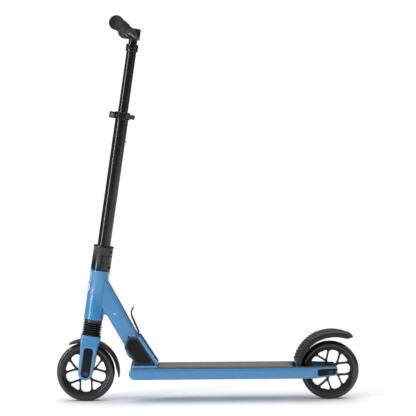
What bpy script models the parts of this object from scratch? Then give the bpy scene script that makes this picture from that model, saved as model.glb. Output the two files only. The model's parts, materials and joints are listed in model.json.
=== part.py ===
"""Two-wheeled folding kick scooter, in metres.

+Z is up, the front wheel is towards -X, the rider's left is -Y, and the
origin is on the ground midway between the two axles.
"""
from math import acos, atan2, cos, degrees, hypot, pi, radians, sin, sqrt, tan

import bmesh
import bpy
from mathutils import Matrix, Vector

# ---------------------------------------------------------------- clearances
GAP = 0.0003              # between pieces that touch or run in each other
FLANK = 0.0004            # down tube to bracket cheeks, each side
FORK_TO_TYRE = 0.006
FENDER_TO_FORK = 0.001
FRONT_FENDER_TO_TYRE = 0.0097
REAR_FENDER_TO_TYRE = 0.0204
NOSE_TO_FENDER = 0.025
DECK_TO_FENDER_PIN = 0.0125
RAIL_TO_FENDER = 0.0033
PAD_TO_TYRE = 0.0066

# ------------------------------------------------------------ driving sizes
WHEELBASE = 0.610
STEERING_LEAN = radians(8.7)

WHEEL_RADIUS = 0.0725
TYRE_WIDTH = 0.028
TYRE_DEPTH = 0.0155
RIM_DEPTH = 0.0045
SPOKE_HALF_DEPTH = 0.005
HUB_HALF_WIDTH = 0.012
HUB_WALL = 0.0027
BEARING_RADIUS = 0.011
BEARING_WIDTH = 0.007
AXLE_RADIUS = 0.004
AXLE_HEAD_RADIUS = 0.0060
BOSS_WALL = 0.0032

DECK_DROP = 0.0145        # deck's underside below the axles
DECK_DEPTH = 0.0265
DECK_HALF_WIDTH = 0.052
DECK_WALL = 0.003
NOSE_LENGTH = 0.031
RAIL_THICKNESS = 0.0087
ARM_LENGTH = 0.043        # slanting part of a rear arm, to the axle
ARM_TIP_HALF_WIDTH = 0.0340
ARM_OVERHANG = 0.018      # arm tip behind the rear axle
INLAY_DEPTH = 0.0018
MAT_THICKNESS = 0.0025
TAPE_THICKNESS = 0.0008
TAPE_BORDER = 0.007

PIVOT_SETBACK = 0.0115    # fold pivot behind the deck's front
PIVOT_RISE = 0.0490       # fold pivot above the bracket's base
DOWN_TUBE_SLOPE = radians(60.9)
DOWN_TUBE_HALF_HEIGHT = 0.0208
DOWN_TUBE_HALF_WIDTH = 0.020
DOWN_TUBE_WALL = 0.0028
BRACKET_LENGTH = 0.066
BRACKET_HALF_WIDTH = 0.048
FLANGE_THICKNESS = 0.005
CHEEK_THICKNESS = 0.005
COVER_RADIUS = 0.0198
COVER_DEPTH = 0.0083
COVER_WALL = 0.0018
PIVOT_BOLT_RADIUS = 0.004

LOCK_RADIUS = 0.0025
LOCK_SEAT = 0.0179        # lock pin to fold pivot
LEVER_ALONG = 0.0199      # lever pivot, along the down tube from the fold pivot
LEVER_DEPTH = 0.0089      # lever pivot, in from the down tube's rear face
LEVER_SWING = radians(28)
LEVER_THICKNESS = 0.0038
LEVER_HALF_WIDTH = 0.013

CROWN_DEPTH = 0.0090      # fork crown above the front fender
BELLOWS_LENGTH = 0.0410
HEAD_LENGTH = 0.1235
HEAD_WALL = 0.0021
STEERER_RADIUS = 0.0175
STEERER_WALL = 0.0022
BEARING_DEPTH = 0.0043
BEARING_HEIGHT = 0.007
BADGE_RADIUS = 0.0145
BADGE_RISE = 0.0790
SLEEVE_HEIGHT = 0.0612
SLEEVE_WALL = 0.0066
LOWER_TUBE_LENGTH = 0.3358
LOWER_TUBE_RADIUS = 0.0162
LOWER_TUBE_WALL = 0.0016
BUSH_WALL = 0.0021
MIDDLE_TUBE_LENGTH = 0.1675
MIDDLE_TUBE_WALL = 0.0013
HEIGHT_TRAVEL = 0.145
BAR_TRAVEL = 0.090
BUTTON_DROP = 0.0725
BUTTON_RADIUS = 0.0042
COLLAR_HEIGHT = 0.018
COLLAR_WALL = 0.0026
SKEWER_RADIUS = 0.0025

BAR_RISE_ABOVE_TUBE = 0.025
BLOCK_WALL = 0.0034
BLOCK_HEIGHT = 0.028
BAR_RADIUS = 0.0124
BAR_WALL = 0.0022
BAR_HALF_SPAN = 0.2405
BAR_SWEEP = radians(8.3)
BAR_RISE = radians(3.2)
GRIP_LENGTH = 0.112
GRIP_WALL = 0.0029
GRIP_FLANGE = 0.0018

FORK_LEG = 0.0135
FORK_STEM_WALL = 0.0045
FORK_STEM_LENGTH = 0.092
SUSPENSION_TRAVEL = 0.018

FENDER_WALL = 0.0018
REAR_FENDER_WALL = 0.0026
RIB_HEIGHT = 0.0016
RIB_COUNT = 11
PIN_RADIUS = 0.0025

# ------------------------------------------------------------- derived places
FRONT_AXLE = Vector((-WHEELBASE / 2, 0, WHEEL_RADIUS))
REAR_AXLE = Vector((WHEELBASE / 2, 0, WHEEL_RADIUS))
RIM_RADIUS = WHEEL_RADIUS - TYRE_DEPTH
RIM_INNER_RADIUS = RIM_RADIUS - RIM_DEPTH
HUB_RADIUS = BEARING_RADIUS + GAP + HUB_WALL
BOSS_RADIUS = AXLE_RADIUS + GAP + BOSS_WALL
FRONT_FENDER_RADIUS = WHEEL_RADIUS + FRONT_FENDER_TO_TYRE + FENDER_WALL
REAR_FENDER_RADIUS = WHEEL_RADIUS + REAR_FENDER_TO_TYRE + REAR_FENDER_WALL
REAR_FENDER_CENTRE = REAR_AXLE + Vector((0.0066, 0, 0.0040))

DECK_BOTTOM = WHEEL_RADIUS - DECK_DROP
DECK_TOP = DECK_BOTTOM + DECK_DEPTH
DECK_FRONT = FRONT_AXLE.x + FRONT_FENDER_RADIUS + NOSE_TO_FENDER
FENDER_PIVOT = Vector((REAR_FENDER_CENTRE.x - REAR_FENDER_RADIUS + 0.0014, 0, DECK_BOTTOM + 0.0105))
DECK_REAR = FENDER_PIVOT.x - DECK_TO_FENDER_PIN
ARM_BEND = REAR_AXLE.x - ARM_LENGTH
TIP_X = REAR_AXLE.x + ARM_OVERHANG
PLATFORM_HALF_WIDTH = DECK_HALF_WIDTH - RAIL_THICKNESS - GAP
REAR_FENDER_HALF_WIDTH = DECK_HALF_WIDTH - RAIL_THICKNESS - RAIL_TO_FENDER
PIN_HALF_LENGTH = DECK_HALF_WIDTH - 0.004
MAT_TOP = DECK_TOP + GAP + MAT_THICKNESS

FLANGE_BOTTOM = MAT_TOP + GAP
FLANGE_TOP = FLANGE_BOTTOM + FLANGE_THICKNESS
PIVOT = Vector((DECK_FRONT + PIVOT_SETBACK, 0, FLANGE_TOP + PIVOT_RISE))
PIVOT_X, PIVOT_Z = PIVOT.x, PIVOT.z
CHEEK_INNER = DOWN_TUBE_HALF_WIDTH + FLANK
CHEEK_OUTER = CHEEK_INNER + CHEEK_THICKNESS
CHEEK_RADIUS = LOCK_SEAT - LOCK_RADIUS - GAP
COVER_INNER = CHEEK_OUTER + GAP
COVER_OUTER = COVER_INNER + COVER_DEPTH
LEVER_ABOVE = DOWN_TUBE_HALF_HEIGHT - LEVER_DEPTH
LOCK_TRAVEL = LEVER_ABOVE * LEVER_SWING

FORK_INNER_HALF = TYRE_WIDTH / 2 + FORK_TO_TYRE
FORK_HALF_WIDTH = FORK_INNER_HALF + FORK_LEG
FRONT_FENDER_HALF_WIDTH = FORK_INNER_HALF - FENDER_TO_FORK
FORK_STEM_RADIUS = STEERER_RADIUS - STEERER_WALL - GAP
BEARING_SEAT = STEERER_RADIUS + BEARING_DEPTH
HEAD_RADIUS = BEARING_SEAT + GAP + HEAD_WALL
SLEEVE_RADIUS = STEERER_RADIUS + GAP + SLEEVE_WALL
MIDDLE_TUBE_RADIUS = LOWER_TUBE_RADIUS - LOWER_TUBE_WALL - BUSH_WALL - GAP
BLOCK_RADIUS = BAR_RADIUS + BLOCK_WALL
GRIP_RADIUS = BAR_RADIUS + GAP + GRIP_WALL
GRIP_FLANGE_RADIUS = GRIP_RADIUS + GRIP_FLANGE

# heights up the steering axis, from the front axle
FORK_CROWN_TOP = FRONT_FENDER_RADIUS + CROWN_DEPTH
HEAD_BOTTOM = FORK_CROWN_TOP + BELLOWS_LENGTH
BELLOWS_TOP = HEAD_BOTTOM - 0.0056
HEAD_TOP = HEAD_BOTTOM + HEAD_LENGTH
BADGE_HEIGHT = HEAD_BOTTOM + BADGE_RISE
SLEEVE_BOTTOM = HEAD_TOP + 0.0010
SLEEVE_TOP = SLEEVE_BOTTOM + SLEEVE_HEIGHT
LOWER_TUBE_TOP = SLEEVE_TOP + LOWER_TUBE_LENGTH
BUTTON_HEIGHT = LOWER_TUBE_TOP - BUTTON_DROP
MIDDLE_TUBE_TOP = LOWER_TUBE_TOP + MIDDLE_TUBE_LENGTH
BAR_HEIGHT = MIDDLE_TUBE_TOP + BAR_RISE_ABOVE_TUBE

BLUE = (0.085, 0.300, 0.600)
BLACK = (0.020, 0.020, 0.022)


# ------------------------------------------------------------------- helpers
def clear_scene():
    for thing in list(bpy.data.objects):
        bpy.data.objects.remove(thing, do_unlink=True)


def material(name, colour, roughness, metallic):
    made = bpy.data.materials.new(name)
    made.use_nodes = True
    shader = made.node_tree.nodes["Principled BSDF"]
    shader.inputs["Base Color"].default_value = (*colour, 1.0)
    shader.inputs["Roughness"].default_value = roughness
    shader.inputs["Metallic"].default_value = metallic
    made.diffuse_color = (*colour, 1.0)
    return made


WORLD = {}


def empty(name, place, parent=None):
    """An axis to hang pieces on; place is its matrix in the world."""
    made = bpy.data.objects.new(name, None)
    bpy.context.collection.objects.link(made)
    made.empty_display_size = 0.02
    WORLD[made] = place
    made.parent = parent
    made.matrix_local = WORLD[parent].inverted() @ place if parent else place
    return made


def place_at(point, turn=None):
    """A matrix at a point, turned about +Y when an angle is given."""
    turned_by = Matrix.Rotation(turn, 4, "Y") if turn else Matrix.Identity(4)
    return Matrix.Translation(point) @ turned_by


def piece(name, shape, look, parent, sharp=35):
    """One named object from a bmesh given in its parent's own axes."""
    bmesh.ops.recalc_face_normals(shape, faces=shape.faces)
    mesh = bpy.data.meshes.new(name)
    shape.to_mesh(mesh)
    shape.free()
    mesh.shade_smooth()
    mesh.set_sharp_from_angle(angle=radians(sharp))
    if look:
        mesh.materials.append(look)
    made = bpy.data.objects.new(name, mesh)
    bpy.context.collection.objects.link(made)
    made.parent = parent
    return made


def combine(target, operation, shapes):
    """Join shapes to the target, cut them from it, or keep what they share."""
    for shape in shapes:
        tool = piece(f"{target.name}_{operation.lower()}", shape, None, target.parent)
        tool.hide_render = True
        tool.display_type = "WIRE"
        step = target.modifiers.new(operation.title(), "BOOLEAN")
        step.operation = operation
        step.object = tool


def join(target, *shapes):
    combine(target, "UNION", shapes)


def cut(target, *shapes):
    combine(target, "DIFFERENCE", shapes)


def keep(target, *shapes):
    combine(target, "INTERSECT", shapes)


def spot(axis, along, a, b):
    """A point from its height along an axis and its two coordinates across it."""
    return {"X": (along, a, b), "Y": (a, along, b), "Z": (a, b, along)}[axis]


def prism(outline, axis, low, high):
    """An outline extruded along an axis."""
    shape = bmesh.new()
    floor = [shape.verts.new(spot(axis, low, a, b)) for a, b in outline]
    roof = [shape.verts.new(spot(axis, high, a, b)) for a, b in outline]
    shape.faces.new(floor)
    shape.faces.new(roof)
    for i, corner in enumerate(floor):
        j = (i + 1) % len(floor)
        shape.faces.new((corner, floor[j], roof[j], roof[i]))
    return shape


def turned(profile, axis="Z", segments=32, centre=(0, 0), closed=True):
    """A profile of (radius, height) turned about an axis through centre."""
    shape = bmesh.new()
    rings = []
    for radius, height in profile:
        count = segments if radius > 1e-6 else 1
        turns = [2 * pi * k / segments for k in range(count)]
        rings.append([shape.verts.new(spot(axis, height, centre[0] + radius * cos(t),
                                           centre[1] + radius * sin(t))) for t in turns])
    pairs = list(zip(rings, rings[1:] + rings[:1]))
    for lower, upper in pairs if closed else pairs[:-1]:
        for k in range(segments):
            m = (k + 1) % segments
            corners = [lower[k % len(lower)], lower[m % len(lower)],
                       upper[m % len(upper)], upper[k % len(upper)]]
            corners = list(dict.fromkeys(corners))
            if len(corners) > 2:
                shape.faces.new(corners)
    return shape


def ring(inner, outer, low, high, axis="Z", centre=(0, 0), segments=32):
    profile = [(inner, low), (outer, low), (outer, high), (inner, high)]
    return turned(profile, axis, segments, centre)


def box(low, high):
    outline = [(low[0], low[1]), (high[0], low[1]), (high[0], high[1]), (low[0], high[1])]
    return prism(outline, "Z", low[2], high[2])


def moved(shape, matrix):
    bmesh.ops.transform(shape, matrix=matrix, verts=shape.verts)
    return shape


def arc(centre, radius, start, end, steps):
    """Points on a circle, from one angle to another, in degrees."""
    turns = [radians(start + (end - start) * k / steps) for k in range(steps + 1)]
    return [(centre[0] + radius * cos(t), centre[1] + radius * sin(t)) for t in turns]


def rod(radius, low, high, axis="Z", centre=(0, 0), segments=24):
    step = 360 / segments
    return prism(arc(centre, radius, step / 2, 360 - step / 2, segments - 1), axis, low, high)


def rounded(corners, steps=4):
    """An outline from (a, b, fillet radius) corners."""
    outline = []
    count = len(corners)
    for i, (a, b, radius) in enumerate(corners):
        here = Vector((a, b))
        if radius <= 0:
            outline.append((a, b))
            continue
        back = (Vector(corners[i - 1][:2]) - here).normalized()
        ahead = (Vector(corners[(i + 1) % count][:2]) - here).normalized()
        half = acos(max(-1.0, min(1.0, back.dot(ahead)))) / 2
        centre = here + (back + ahead).normalized() * radius / sin(half)
        first = here + back * radius / tan(half) - centre
        last = here + ahead * radius / tan(half) - centre
        sweep = atan2(first.cross(last), first.dot(last))
        start = atan2(first.y, first.x)
        for k in range(steps + 1):
            turn = start + sweep * k / steps
            outline.append((centre.x + radius * cos(turn), centre.y + radius * sin(turn)))
    return outline


def ribbon(route, thickness):
    """The outline of a strip of even thickness along a route of points."""
    left, right = [], []
    for i, (a, b) in enumerate(route):
        before = Vector(route[max(i - 1, 0)])
        after = Vector(route[min(i + 1, len(route) - 1)])
        side = (after - before).normalized().orthogonal() * thickness / 2
        left.append((a + side.x, b + side.y))
        right.append((a - side.x, b - side.y))
    return left + right[::-1]


def loft(sections):
    """A solid through closed sections that all have the same number of points."""
    shape = bmesh.new()
    rings = [[shape.verts.new(point) for point in section] for section in sections]
    for lower, upper in zip(rings, rings[1:]):
        for i, corner in enumerate(lower):
            j = (i + 1) % len(lower)
            shape.faces.new((corner, lower[j], upper[j], upper[i]))
    shape.faces.new(rings[0])
    shape.faces.new(rings[-1])
    return shape


def coil(radius, wire, turns, low, high, per_turn=9, sides=5):
    """A round-wire spring about +Z."""
    steps = int(turns * per_turn)
    climb = (high - low - 2 * wire) / steps
    sections = []
    for k in range(steps + 1):
        turn = 2 * pi * turns * k / steps
        centre = Vector((radius * cos(turn), radius * sin(turn), low + wire + climb * k))
        out = Vector((cos(turn), sin(turn), 0))
        wound = Vector((-sin(turn) * radius, cos(turn) * radius, climb * steps / (2 * pi * turns)))
        up = wound.normalized().cross(out)
        sections.append([centre + (out * cos(t) + up * sin(t)) * wire
                         for t in (2 * pi * j / sides for j in range(sides))])
    return loft(sections)


def tangent_outline(centre, radius, left, right, corner):
    """A round top of given radius that runs straight down to two bottom corners."""
    def touch(point, side):
        away = Vector(point) - Vector(centre)
        return degrees(atan2(away.y, away.x) + side * acos(radius / away.length))

    start, end = touch(right, 1), touch(left, -1) % 360
    top = arc(centre, radius, start, end, 12)
    return top + rounded([(*top[-1], 0), (*left, corner), (*right, corner), (*top[0], 0)])[1:-1]


# --------------------------------------------------------------------- looks
clear_scene()
blue_paint = material("blue_paint", BLUE, 0.35, 0.0)
black_paint = material("black_paint", BLACK, 0.35, 0.0)
black_plastic = material("black_plastic", (0.028, 0.028, 0.030), 0.5, 0.0)
soft_rubber = material("soft_rubber", (0.022, 0.022, 0.023), 0.75, 0.0)
tyre_urethane = material("tyre_urethane", (0.015, 0.015, 0.017), 0.35, 0.0)
grip_grey = material("grip_grey", (0.130, 0.130, 0.128), 0.9, 0.0)
bare_steel = material("bare_steel", (0.55, 0.55, 0.56), 0.3, 1.0)
dark_steel = material("dark_steel", (0.06, 0.06, 0.065), 0.4, 1.0)
badge_white = material("badge_white", (0.80, 0.81, 0.82), 0.3, 0.0)

# ---------------------------------------------------------------------- axes
deck_frame = empty("deck_frame", Matrix.Identity(4))
fold_axis = empty("fold_axis", place_at(PIVOT), deck_frame)
along_tube = Vector((-cos(DOWN_TUBE_SLOPE), 0, sin(DOWN_TUBE_SLOPE)))
behind_tube = Vector((sin(DOWN_TUBE_SLOPE), 0, cos(DOWN_TUBE_SLOPE)))
LEVER_PIVOT = PIVOT + along_tube * LEVER_ALONG + behind_tube * LEVER_ABOVE
TUBE_TURN = DOWN_TUBE_SLOPE - pi / 2
tube_axis = empty("tube_axis", place_at(PIVOT, TUBE_TURN), fold_axis)
lever_axis = empty("lever_axis", place_at(LEVER_PIVOT, TUBE_TURN), tube_axis)
lock_axis = empty("lock_axis", place_at(PIVOT, TUBE_TURN), tube_axis)
steering_place = place_at(FRONT_AXLE, STEERING_LEAN)
steer_axis = empty("steer_axis", steering_place, fold_axis)
fork_axis = empty("fork_axis", steering_place, steer_axis)
front_wheel_axis = empty("front_wheel_axis", place_at(FRONT_AXLE), fork_axis)
height_axis = empty("height_axis", steering_place, steer_axis)
bar_axis = empty("bar_axis", steering_place, height_axis)
SKEWER_SIDE = LOWER_TUBE_RADIUS + GAP + COLLAR_WALL + SKEWER_RADIUS + 0.0034
CLAMP_HEIGHT = LOWER_TUBE_TOP - 0.0005 - COLLAR_HEIGHT / 2
CLAMP_LEVER_FRONT = 0.0237
clamp_lever_place = steering_place @ Matrix.Translation((-CLAMP_LEVER_FRONT, -SKEWER_SIDE, CLAMP_HEIGHT))
clamp_lever_axis = empty("clamp_lever_axis", clamp_lever_place, steer_axis)
button_axis = empty("button_axis", steering_place, steer_axis)
rear_wheel_axis = empty("rear_wheel_axis", place_at(REAR_AXLE), deck_frame)
fender_axis = empty("fender_axis", place_at(FENDER_PIVOT), deck_frame)


# -------------------------------------------------------------------- wheels
def window(inner, inner_half, outer, outer_half, inner_fillet, outer_fillet, turn):
    """A spoke window, its middle line at an angle, in the wheel's plane."""
    corners = rounded([(inner, -inner_half, inner_fillet), (outer, -outer_half, outer_fillet),
                       (outer, outer_half, outer_fillet), (inner, inner_half, inner_fillet)], 2)
    return [(a * cos(turn) - b * sin(turn), a * sin(turn) + b * cos(turn)) for a, b in corners]


def bearing(name, side, parent):
    """A shielded ball bearing in the hub, on one side."""
    low = side * (HUB_HALF_WIDTH - BEARING_WIDTH)
    high = side * HUB_HALF_WIDTH
    dish = side * 0.0006
    profile = [(AXLE_RADIUS + GAP, low), (BEARING_RADIUS, low), (BEARING_RADIUS, high),
               (BEARING_RADIUS - 0.0018, high - dish), (AXLE_RADIUS + 0.0022, high - dish),
               (AXLE_RADIUS + GAP, high)]
    piece(name, turned(profile, "Y", 20), bare_steel, parent)


def wheel(end, parent, first_window):
    """A urethane tyre on a five-arm Y-spoked core with two bearings and a spacer."""
    half = TYRE_WIDTH / 2
    groove = 0.0040
    seat = RIM_RADIUS + GAP
    tread = WHEEL_RADIUS
    tyre = [(seat, -half + 0.0012), (seat + 0.0050, -half), (tread - 0.0045, -half + 0.0012),
            (tread, -half + 0.0060), (tread, half - 0.0060), (tread - 0.0045, half - 0.0012),
            (seat + 0.0050, half), (seat, half - 0.0012), (seat, groove + GAP),
            (seat + groove, groove - 0.0010 + GAP), (seat + groove, -groove + 0.0010 - GAP),
            (seat, -groove - GAP)]
    piece(f"{end}_tyre", turned(tyre, "Y", 40), tyre_urethane, parent)

    bead = half - 0.0018
    shoulder = HUB_HALF_WIDTH - BEARING_WIDTH - GAP
    bore = BEARING_RADIUS + GAP
    core = [(RIM_INNER_RADIUS, -bead + 0.0015), (RIM_RADIUS, -bead), (RIM_RADIUS, -groove),
            (RIM_RADIUS + groove - GAP, -groove + 0.0010), (RIM_RADIUS + groove - GAP, groove - 0.0010),
            (RIM_RADIUS, groove), (RIM_RADIUS, bead), (RIM_INNER_RADIUS, bead - 0.0015),
            (RIM_INNER_RADIUS - 0.0008, SPOKE_HALF_DEPTH), (HUB_RADIUS + 0.0008, SPOKE_HALF_DEPTH),
            (HUB_RADIUS, HUB_HALF_WIDTH), (bore, HUB_HALF_WIDTH), (bore, shoulder),
            (BEARING_RADIUS - 0.0022, shoulder), (BEARING_RADIUS - 0.0022, -shoulder),
            (bore, -shoulder), (bore, -HUB_HALF_WIDTH), (HUB_RADIUS, -HUB_HALF_WIDTH),
            (HUB_RADIUS + 0.0008, -SPOKE_HALF_DEPTH), (RIM_INNER_RADIUS - 0.0008, -SPOKE_HALF_DEPTH)]
    rim = piece(f"{end}_rim", turned(core, "Y", 32), black_plastic, parent)
    reach = SPOKE_HALF_DEPTH + 0.002
    inner, outer = HUB_RADIUS + 0.0016, RIM_INNER_RADIUS - 0.0018
    for k in range(5):
        turn = first_window + 2 * pi * k / 5
        wide = window(inner, 0.0104, outer, 0.0124, 0.0085, 0.0060, turn)
        small = window(inner + 0.0105, 0.0026, outer, 0.0108, 0.0018, 0.0035, turn + pi / 5)
        cut(rim, prism(wide, "Y", -reach, reach), prism(small, "Y", -reach, reach))

    for side, label in ((-1, "left"), (1, "right")):
        bearing(f"{end}_bearing_{label}", side, parent)
    spacer = HUB_HALF_WIDTH - BEARING_WIDTH - GAP
    piece(f"{end}_bearing_spacer",
          ring(AXLE_RADIUS + GAP, AXLE_RADIUS + 0.0024, -spacer, spacer, "Y", segments=20),
          dark_steel, parent)


def axle(end, half_length, parent):
    """A through bolt with a round socket head on the left and a cap nut on the right."""
    head = 0.0026
    socket = -half_length - 0.0004
    bolt = [(0, socket), (0.0028, socket), (0.0032, -half_length - head),
            (AXLE_HEAD_RADIUS, -half_length - head), (AXLE_HEAD_RADIUS, -half_length),
            (AXLE_RADIUS, -half_length), (AXLE_RADIUS, half_length + 0.0010), (0, half_length + 0.0010)]
    piece(f"{end}_axle", turned(bolt, "Y", 16, closed=False), bare_steel, parent)
    nut = [(AXLE_RADIUS + GAP, half_length), (AXLE_HEAD_RADIUS, half_length),
           (AXLE_HEAD_RADIUS - 0.0005, half_length + head), (0, half_length + head),
           (0, half_length + 0.0014), (AXLE_RADIUS + GAP, half_length + 0.0014)]
    piece(f"{end}_axle_nut", turned(nut, "Y", 16), bare_steel, parent)


# ---------------------------------------------------------------------- deck
def deck_side(front, rear):
    """The deck's side outline with its rounded front."""
    return rounded([(front, DECK_TOP, 0.0110), (rear, DECK_TOP, 0), (rear, DECK_BOTTOM, 0),
                    (front, DECK_BOTTOM, 0.0140)], 5)


def build_platform():
    nose_end = DECK_FRONT + NOSE_LENGTH
    half = PLATFORM_HALF_WIDTH
    platform = piece("deck_platform", box((nose_end, -half, DECK_BOTTOM), (DECK_REAR, half, DECK_TOP)),
                     blue_paint, deck_frame)
    cell = (2 * half - 4 * DECK_WALL) / 3
    for k in range(3):
        left = -half + DECK_WALL + k * (cell + DECK_WALL)
        cut(platform, box((nose_end - 0.001, left, DECK_BOTTOM + DECK_WALL),
                          (DECK_REAR + 0.001, left + cell, DECK_TOP - DECK_WALL)))
    piece("deck_nose", prism(deck_side(DECK_FRONT, nose_end - GAP), "Y", -half, half),
          blue_paint, deck_frame)


def arm_line(inset, over=0.001):
    """Half-widths of a rear arm's outer face, set in by an amount, from front to past its tip."""
    return [(ARM_BEND, DECK_HALF_WIDTH - inset),
            (TIP_X + over, ARM_TIP_HALF_WIDTH - inset - over * arm_slope())]


def build_rail(side, label):
    """A side rail that runs on past the deck as one arm of the rear dropout."""
    outer, inner = arm_line(0), arm_line(RAIL_THICKNESS)
    over = 0.001
    corner = 0.008 + over
    plan = [(DECK_FRONT - over, DECK_HALF_WIDTH - RAIL_THICKNESS)]
    plan += arc((DECK_FRONT + corner - over, DECK_HALF_WIDTH - corner), corner, 174, 90, 4)
    plan += outer + inner[::-1]
    plan = [(x, side * y) for x, y in plan]
    rail = piece(f"side_rail_{label}", prism(plan, "Z", DECK_BOTTOM - over, DECK_TOP + over),
                 blue_paint, deck_frame)
    side_view = rounded([(DECK_FRONT, DECK_TOP, 0.0110), (TIP_X, DECK_TOP, 0.0030),
                         (TIP_X - 0.005, DECK_BOTTOM + 0.0045, 0.0050), (ARM_BEND + 0.006, DECK_BOTTOM, 0),
                         (DECK_FRONT, DECK_BOTTOM, 0.0140)], 5)
    reach = sorted((side * 0.02, side * 0.06))
    keep(rail, prism(side_view, "Y", *reach))
    boss_end = HUB_HALF_WIDTH + GAP
    middle = DECK_HALF_WIDTH - RAIL_THICKNESS / 2 - (REAR_AXLE.x - ARM_BEND) * arm_slope()
    span = sorted((side * boss_end, side * middle))
    centre = (REAR_AXLE.x, REAR_AXLE.z)
    join(rail, rod(BOSS_RADIUS, *span, "Y", centre, 20))
    cut(rail, rod(AXLE_RADIUS + GAP, *sorted((side * 0.005, side * 0.06)), "Y", centre, 20),
        rod(PIN_RADIUS + GAP, *sorted((side * 0.03, side * PIN_HALF_LENGTH)), "Y",
            (FENDER_PIVOT.x, FENDER_PIVOT.z), 16),
        arm_inlay(side, GAP, INLAY_DEPTH + GAP, 0.004))
    face = axle_face()
    cut(rail, rod(AXLE_HEAD_RADIUS + GAP, *sorted((side * (face - GAP), side * 0.06)), "Y", centre, 20))


def arm_slope():
    return (DECK_HALF_WIDTH - ARM_TIP_HALF_WIDTH) / (TIP_X - ARM_BEND)


def axle_face():
    """Half-width at which the rear axle's head and nut seat in the arms."""
    return DECK_HALF_WIDTH - (REAR_AXLE.x - ARM_BEND) * arm_slope() - 0.0042


def arm_inlay(side, spread, depth, proud):
    """The inlay's solid on a rear arm's slanting face, grown by spread."""
    turn = side * -atan2(DECK_HALF_WIDTH - ARM_TIP_HALF_WIDTH, TIP_X - ARM_BEND)
    length = hypot(TIP_X - ARM_BEND, DECK_HALF_WIDTH - ARM_TIP_HALF_WIDTH)
    low, high = DECK_BOTTOM + 0.0050 - spread, DECK_TOP - 0.0042 + spread
    start = 0.0100 - spread
    rear = length - 0.0012 + spread * 4
    outline = rounded([(start, high, 0.0070), (rear, high, 0.0020),
                       (rear - 0.0040, low + 0.0030, 0.0040), (start, low, 0.0070)], 5)
    solid = prism(outline, "Y", *sorted((-side * depth, side * proud)))
    place = Matrix.Translation((ARM_BEND, side * DECK_HALF_WIDTH, 0)) @ Matrix.Rotation(turn, 4, "Z")
    return moved(solid, place)


def build_arm_inlay(side, label):
    inlay = piece(f"arm_inlay_{label}", arm_inlay(side, 0, INLAY_DEPTH, -0.0003), black_plastic, deck_frame)
    cut(inlay, rod(AXLE_HEAD_RADIUS + 2 * GAP, *sorted((side * 0.02, side * 0.06)), "Y",
                   (REAR_AXLE.x, REAR_AXLE.z), 20))


def build_mat():
    """The rubber mat with two prongs over the rear arms, and the tape on it."""
    edge = 0.0015
    front = DECK_FRONT + 0.0095
    outer = arm_line(edge, -0.004)
    inner = arm_line(RAIL_THICKNESS - edge / 2, -0.004)
    half_plan = [(DECK_REAR, inner[0][1])] + inner + outer[::-1]
    mirrored = [(x, -y) for x, y in half_plan[::-1]]
    plan = rounded([(front, -(DECK_HALF_WIDTH - edge), 0.006)] + [(x, y, 0) for x, y in mirrored]
                   + [(x, y, 0) for x, y in half_plan] + [(front, DECK_HALF_WIDTH - edge, 0.006)])
    piece("deck_mat", prism(plan, "Z", DECK_TOP + GAP, MAT_TOP), soft_rubber, deck_frame)
    tape_front = BRACKET_FRONT + BRACKET_LENGTH + 0.003
    half = DECK_HALF_WIDTH - edge - TAPE_BORDER
    tape = rounded([(tape_front, -half, 0.003), (DECK_REAR - 0.003, -half, 0.003),
                    (DECK_REAR - 0.003, half, 0.003), (tape_front, half, 0.003)])
    piece("grip_tape", prism(tape, "Z", MAT_TOP + GAP, MAT_TOP + GAP + TAPE_THICKNESS), grip_grey, deck_frame)


# ------------------------------------------------------------- fold hinge
BRACKET_FRONT = DECK_FRONT + 0.005
CORNER_LEFT = (PIVOT_X + 0.0040, FLANGE_TOP + GAP)
CORNER_RIGHT = (PIVOT_X + 0.0553, FLANGE_TOP + GAP)


def cheek_strip():
    """The flange along the cheek's rear edge, in side view."""
    centre = (PIVOT_X, PIVOT_Z)
    away = Vector(CORNER_RIGHT) - Vector(centre)
    turn = atan2(away.y, away.x) + acos(COVER_RADIUS / away.length)
    out = Vector((cos(turn), sin(turn)))
    up = Vector((-sin(turn), cos(turn)))
    foot = Vector(centre) + out * (COVER_RADIUS + GAP)
    top = foot + up * 0.0115
    slant = (foot.y - FLANGE_TOP + 0.001) / up.y
    base = foot - up * slant
    width = 0.0062
    return [tuple(base), tuple(base + out * width), tuple(top + out * width - up * 0.002), tuple(top)]


def build_bracket():
    centre = (PIVOT_X, PIVOT_Z)
    rear = BRACKET_FRONT + BRACKET_LENGTH
    half = BRACKET_HALF_WIDTH
    plate = rounded([(BRACKET_FRONT, -half, 0.010), (rear, -half, 0.004),
                     (rear, half, 0.004), (BRACKET_FRONT, half, 0.010)])
    bracket = piece("fold_bracket", prism(plate, "Z", FLANGE_BOTTOM, FLANGE_TOP), blue_paint, deck_frame)
    left = (CORNER_LEFT[0] + 0.004, FLANGE_TOP - 0.001)
    right = (CORNER_RIGHT[0] - 0.0005, FLANGE_TOP - 0.001)
    cheek = tangent_outline(centre, CHEEK_RADIUS, left, right, 0)
    for side in (-1, 1):
        join(bracket, prism(cheek, "Y", *sorted((side * CHEEK_INNER, side * CHEEK_OUTER))))
        join(bracket, prism(cheek_strip(), "Y", *sorted((side * (CHEEK_OUTER + GAP / 2),
                                                         side * COVER_OUTER))))
        join(bracket, box(*strip_root(side)))
    join(bracket, prism(stop_wall(), "Y", -CHEEK_OUTER, CHEEK_OUTER))
    cut(bracket, rod(PIVOT_BOLT_RADIUS + GAP, -0.04, 0.04, "Y", centre, 20))


def strip_root(side):
    """A foot that ties the rear flange to its cheek just above the base."""
    low, high = sorted((side * (CHEEK_INNER + 0.001), side * (COVER_OUTER - 0.001)))
    x = CORNER_RIGHT[0]
    return (x - 0.0015, low, FLANGE_TOP - 0.001), (x + 0.0040, high, FLANGE_TOP + 0.0022)


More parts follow.
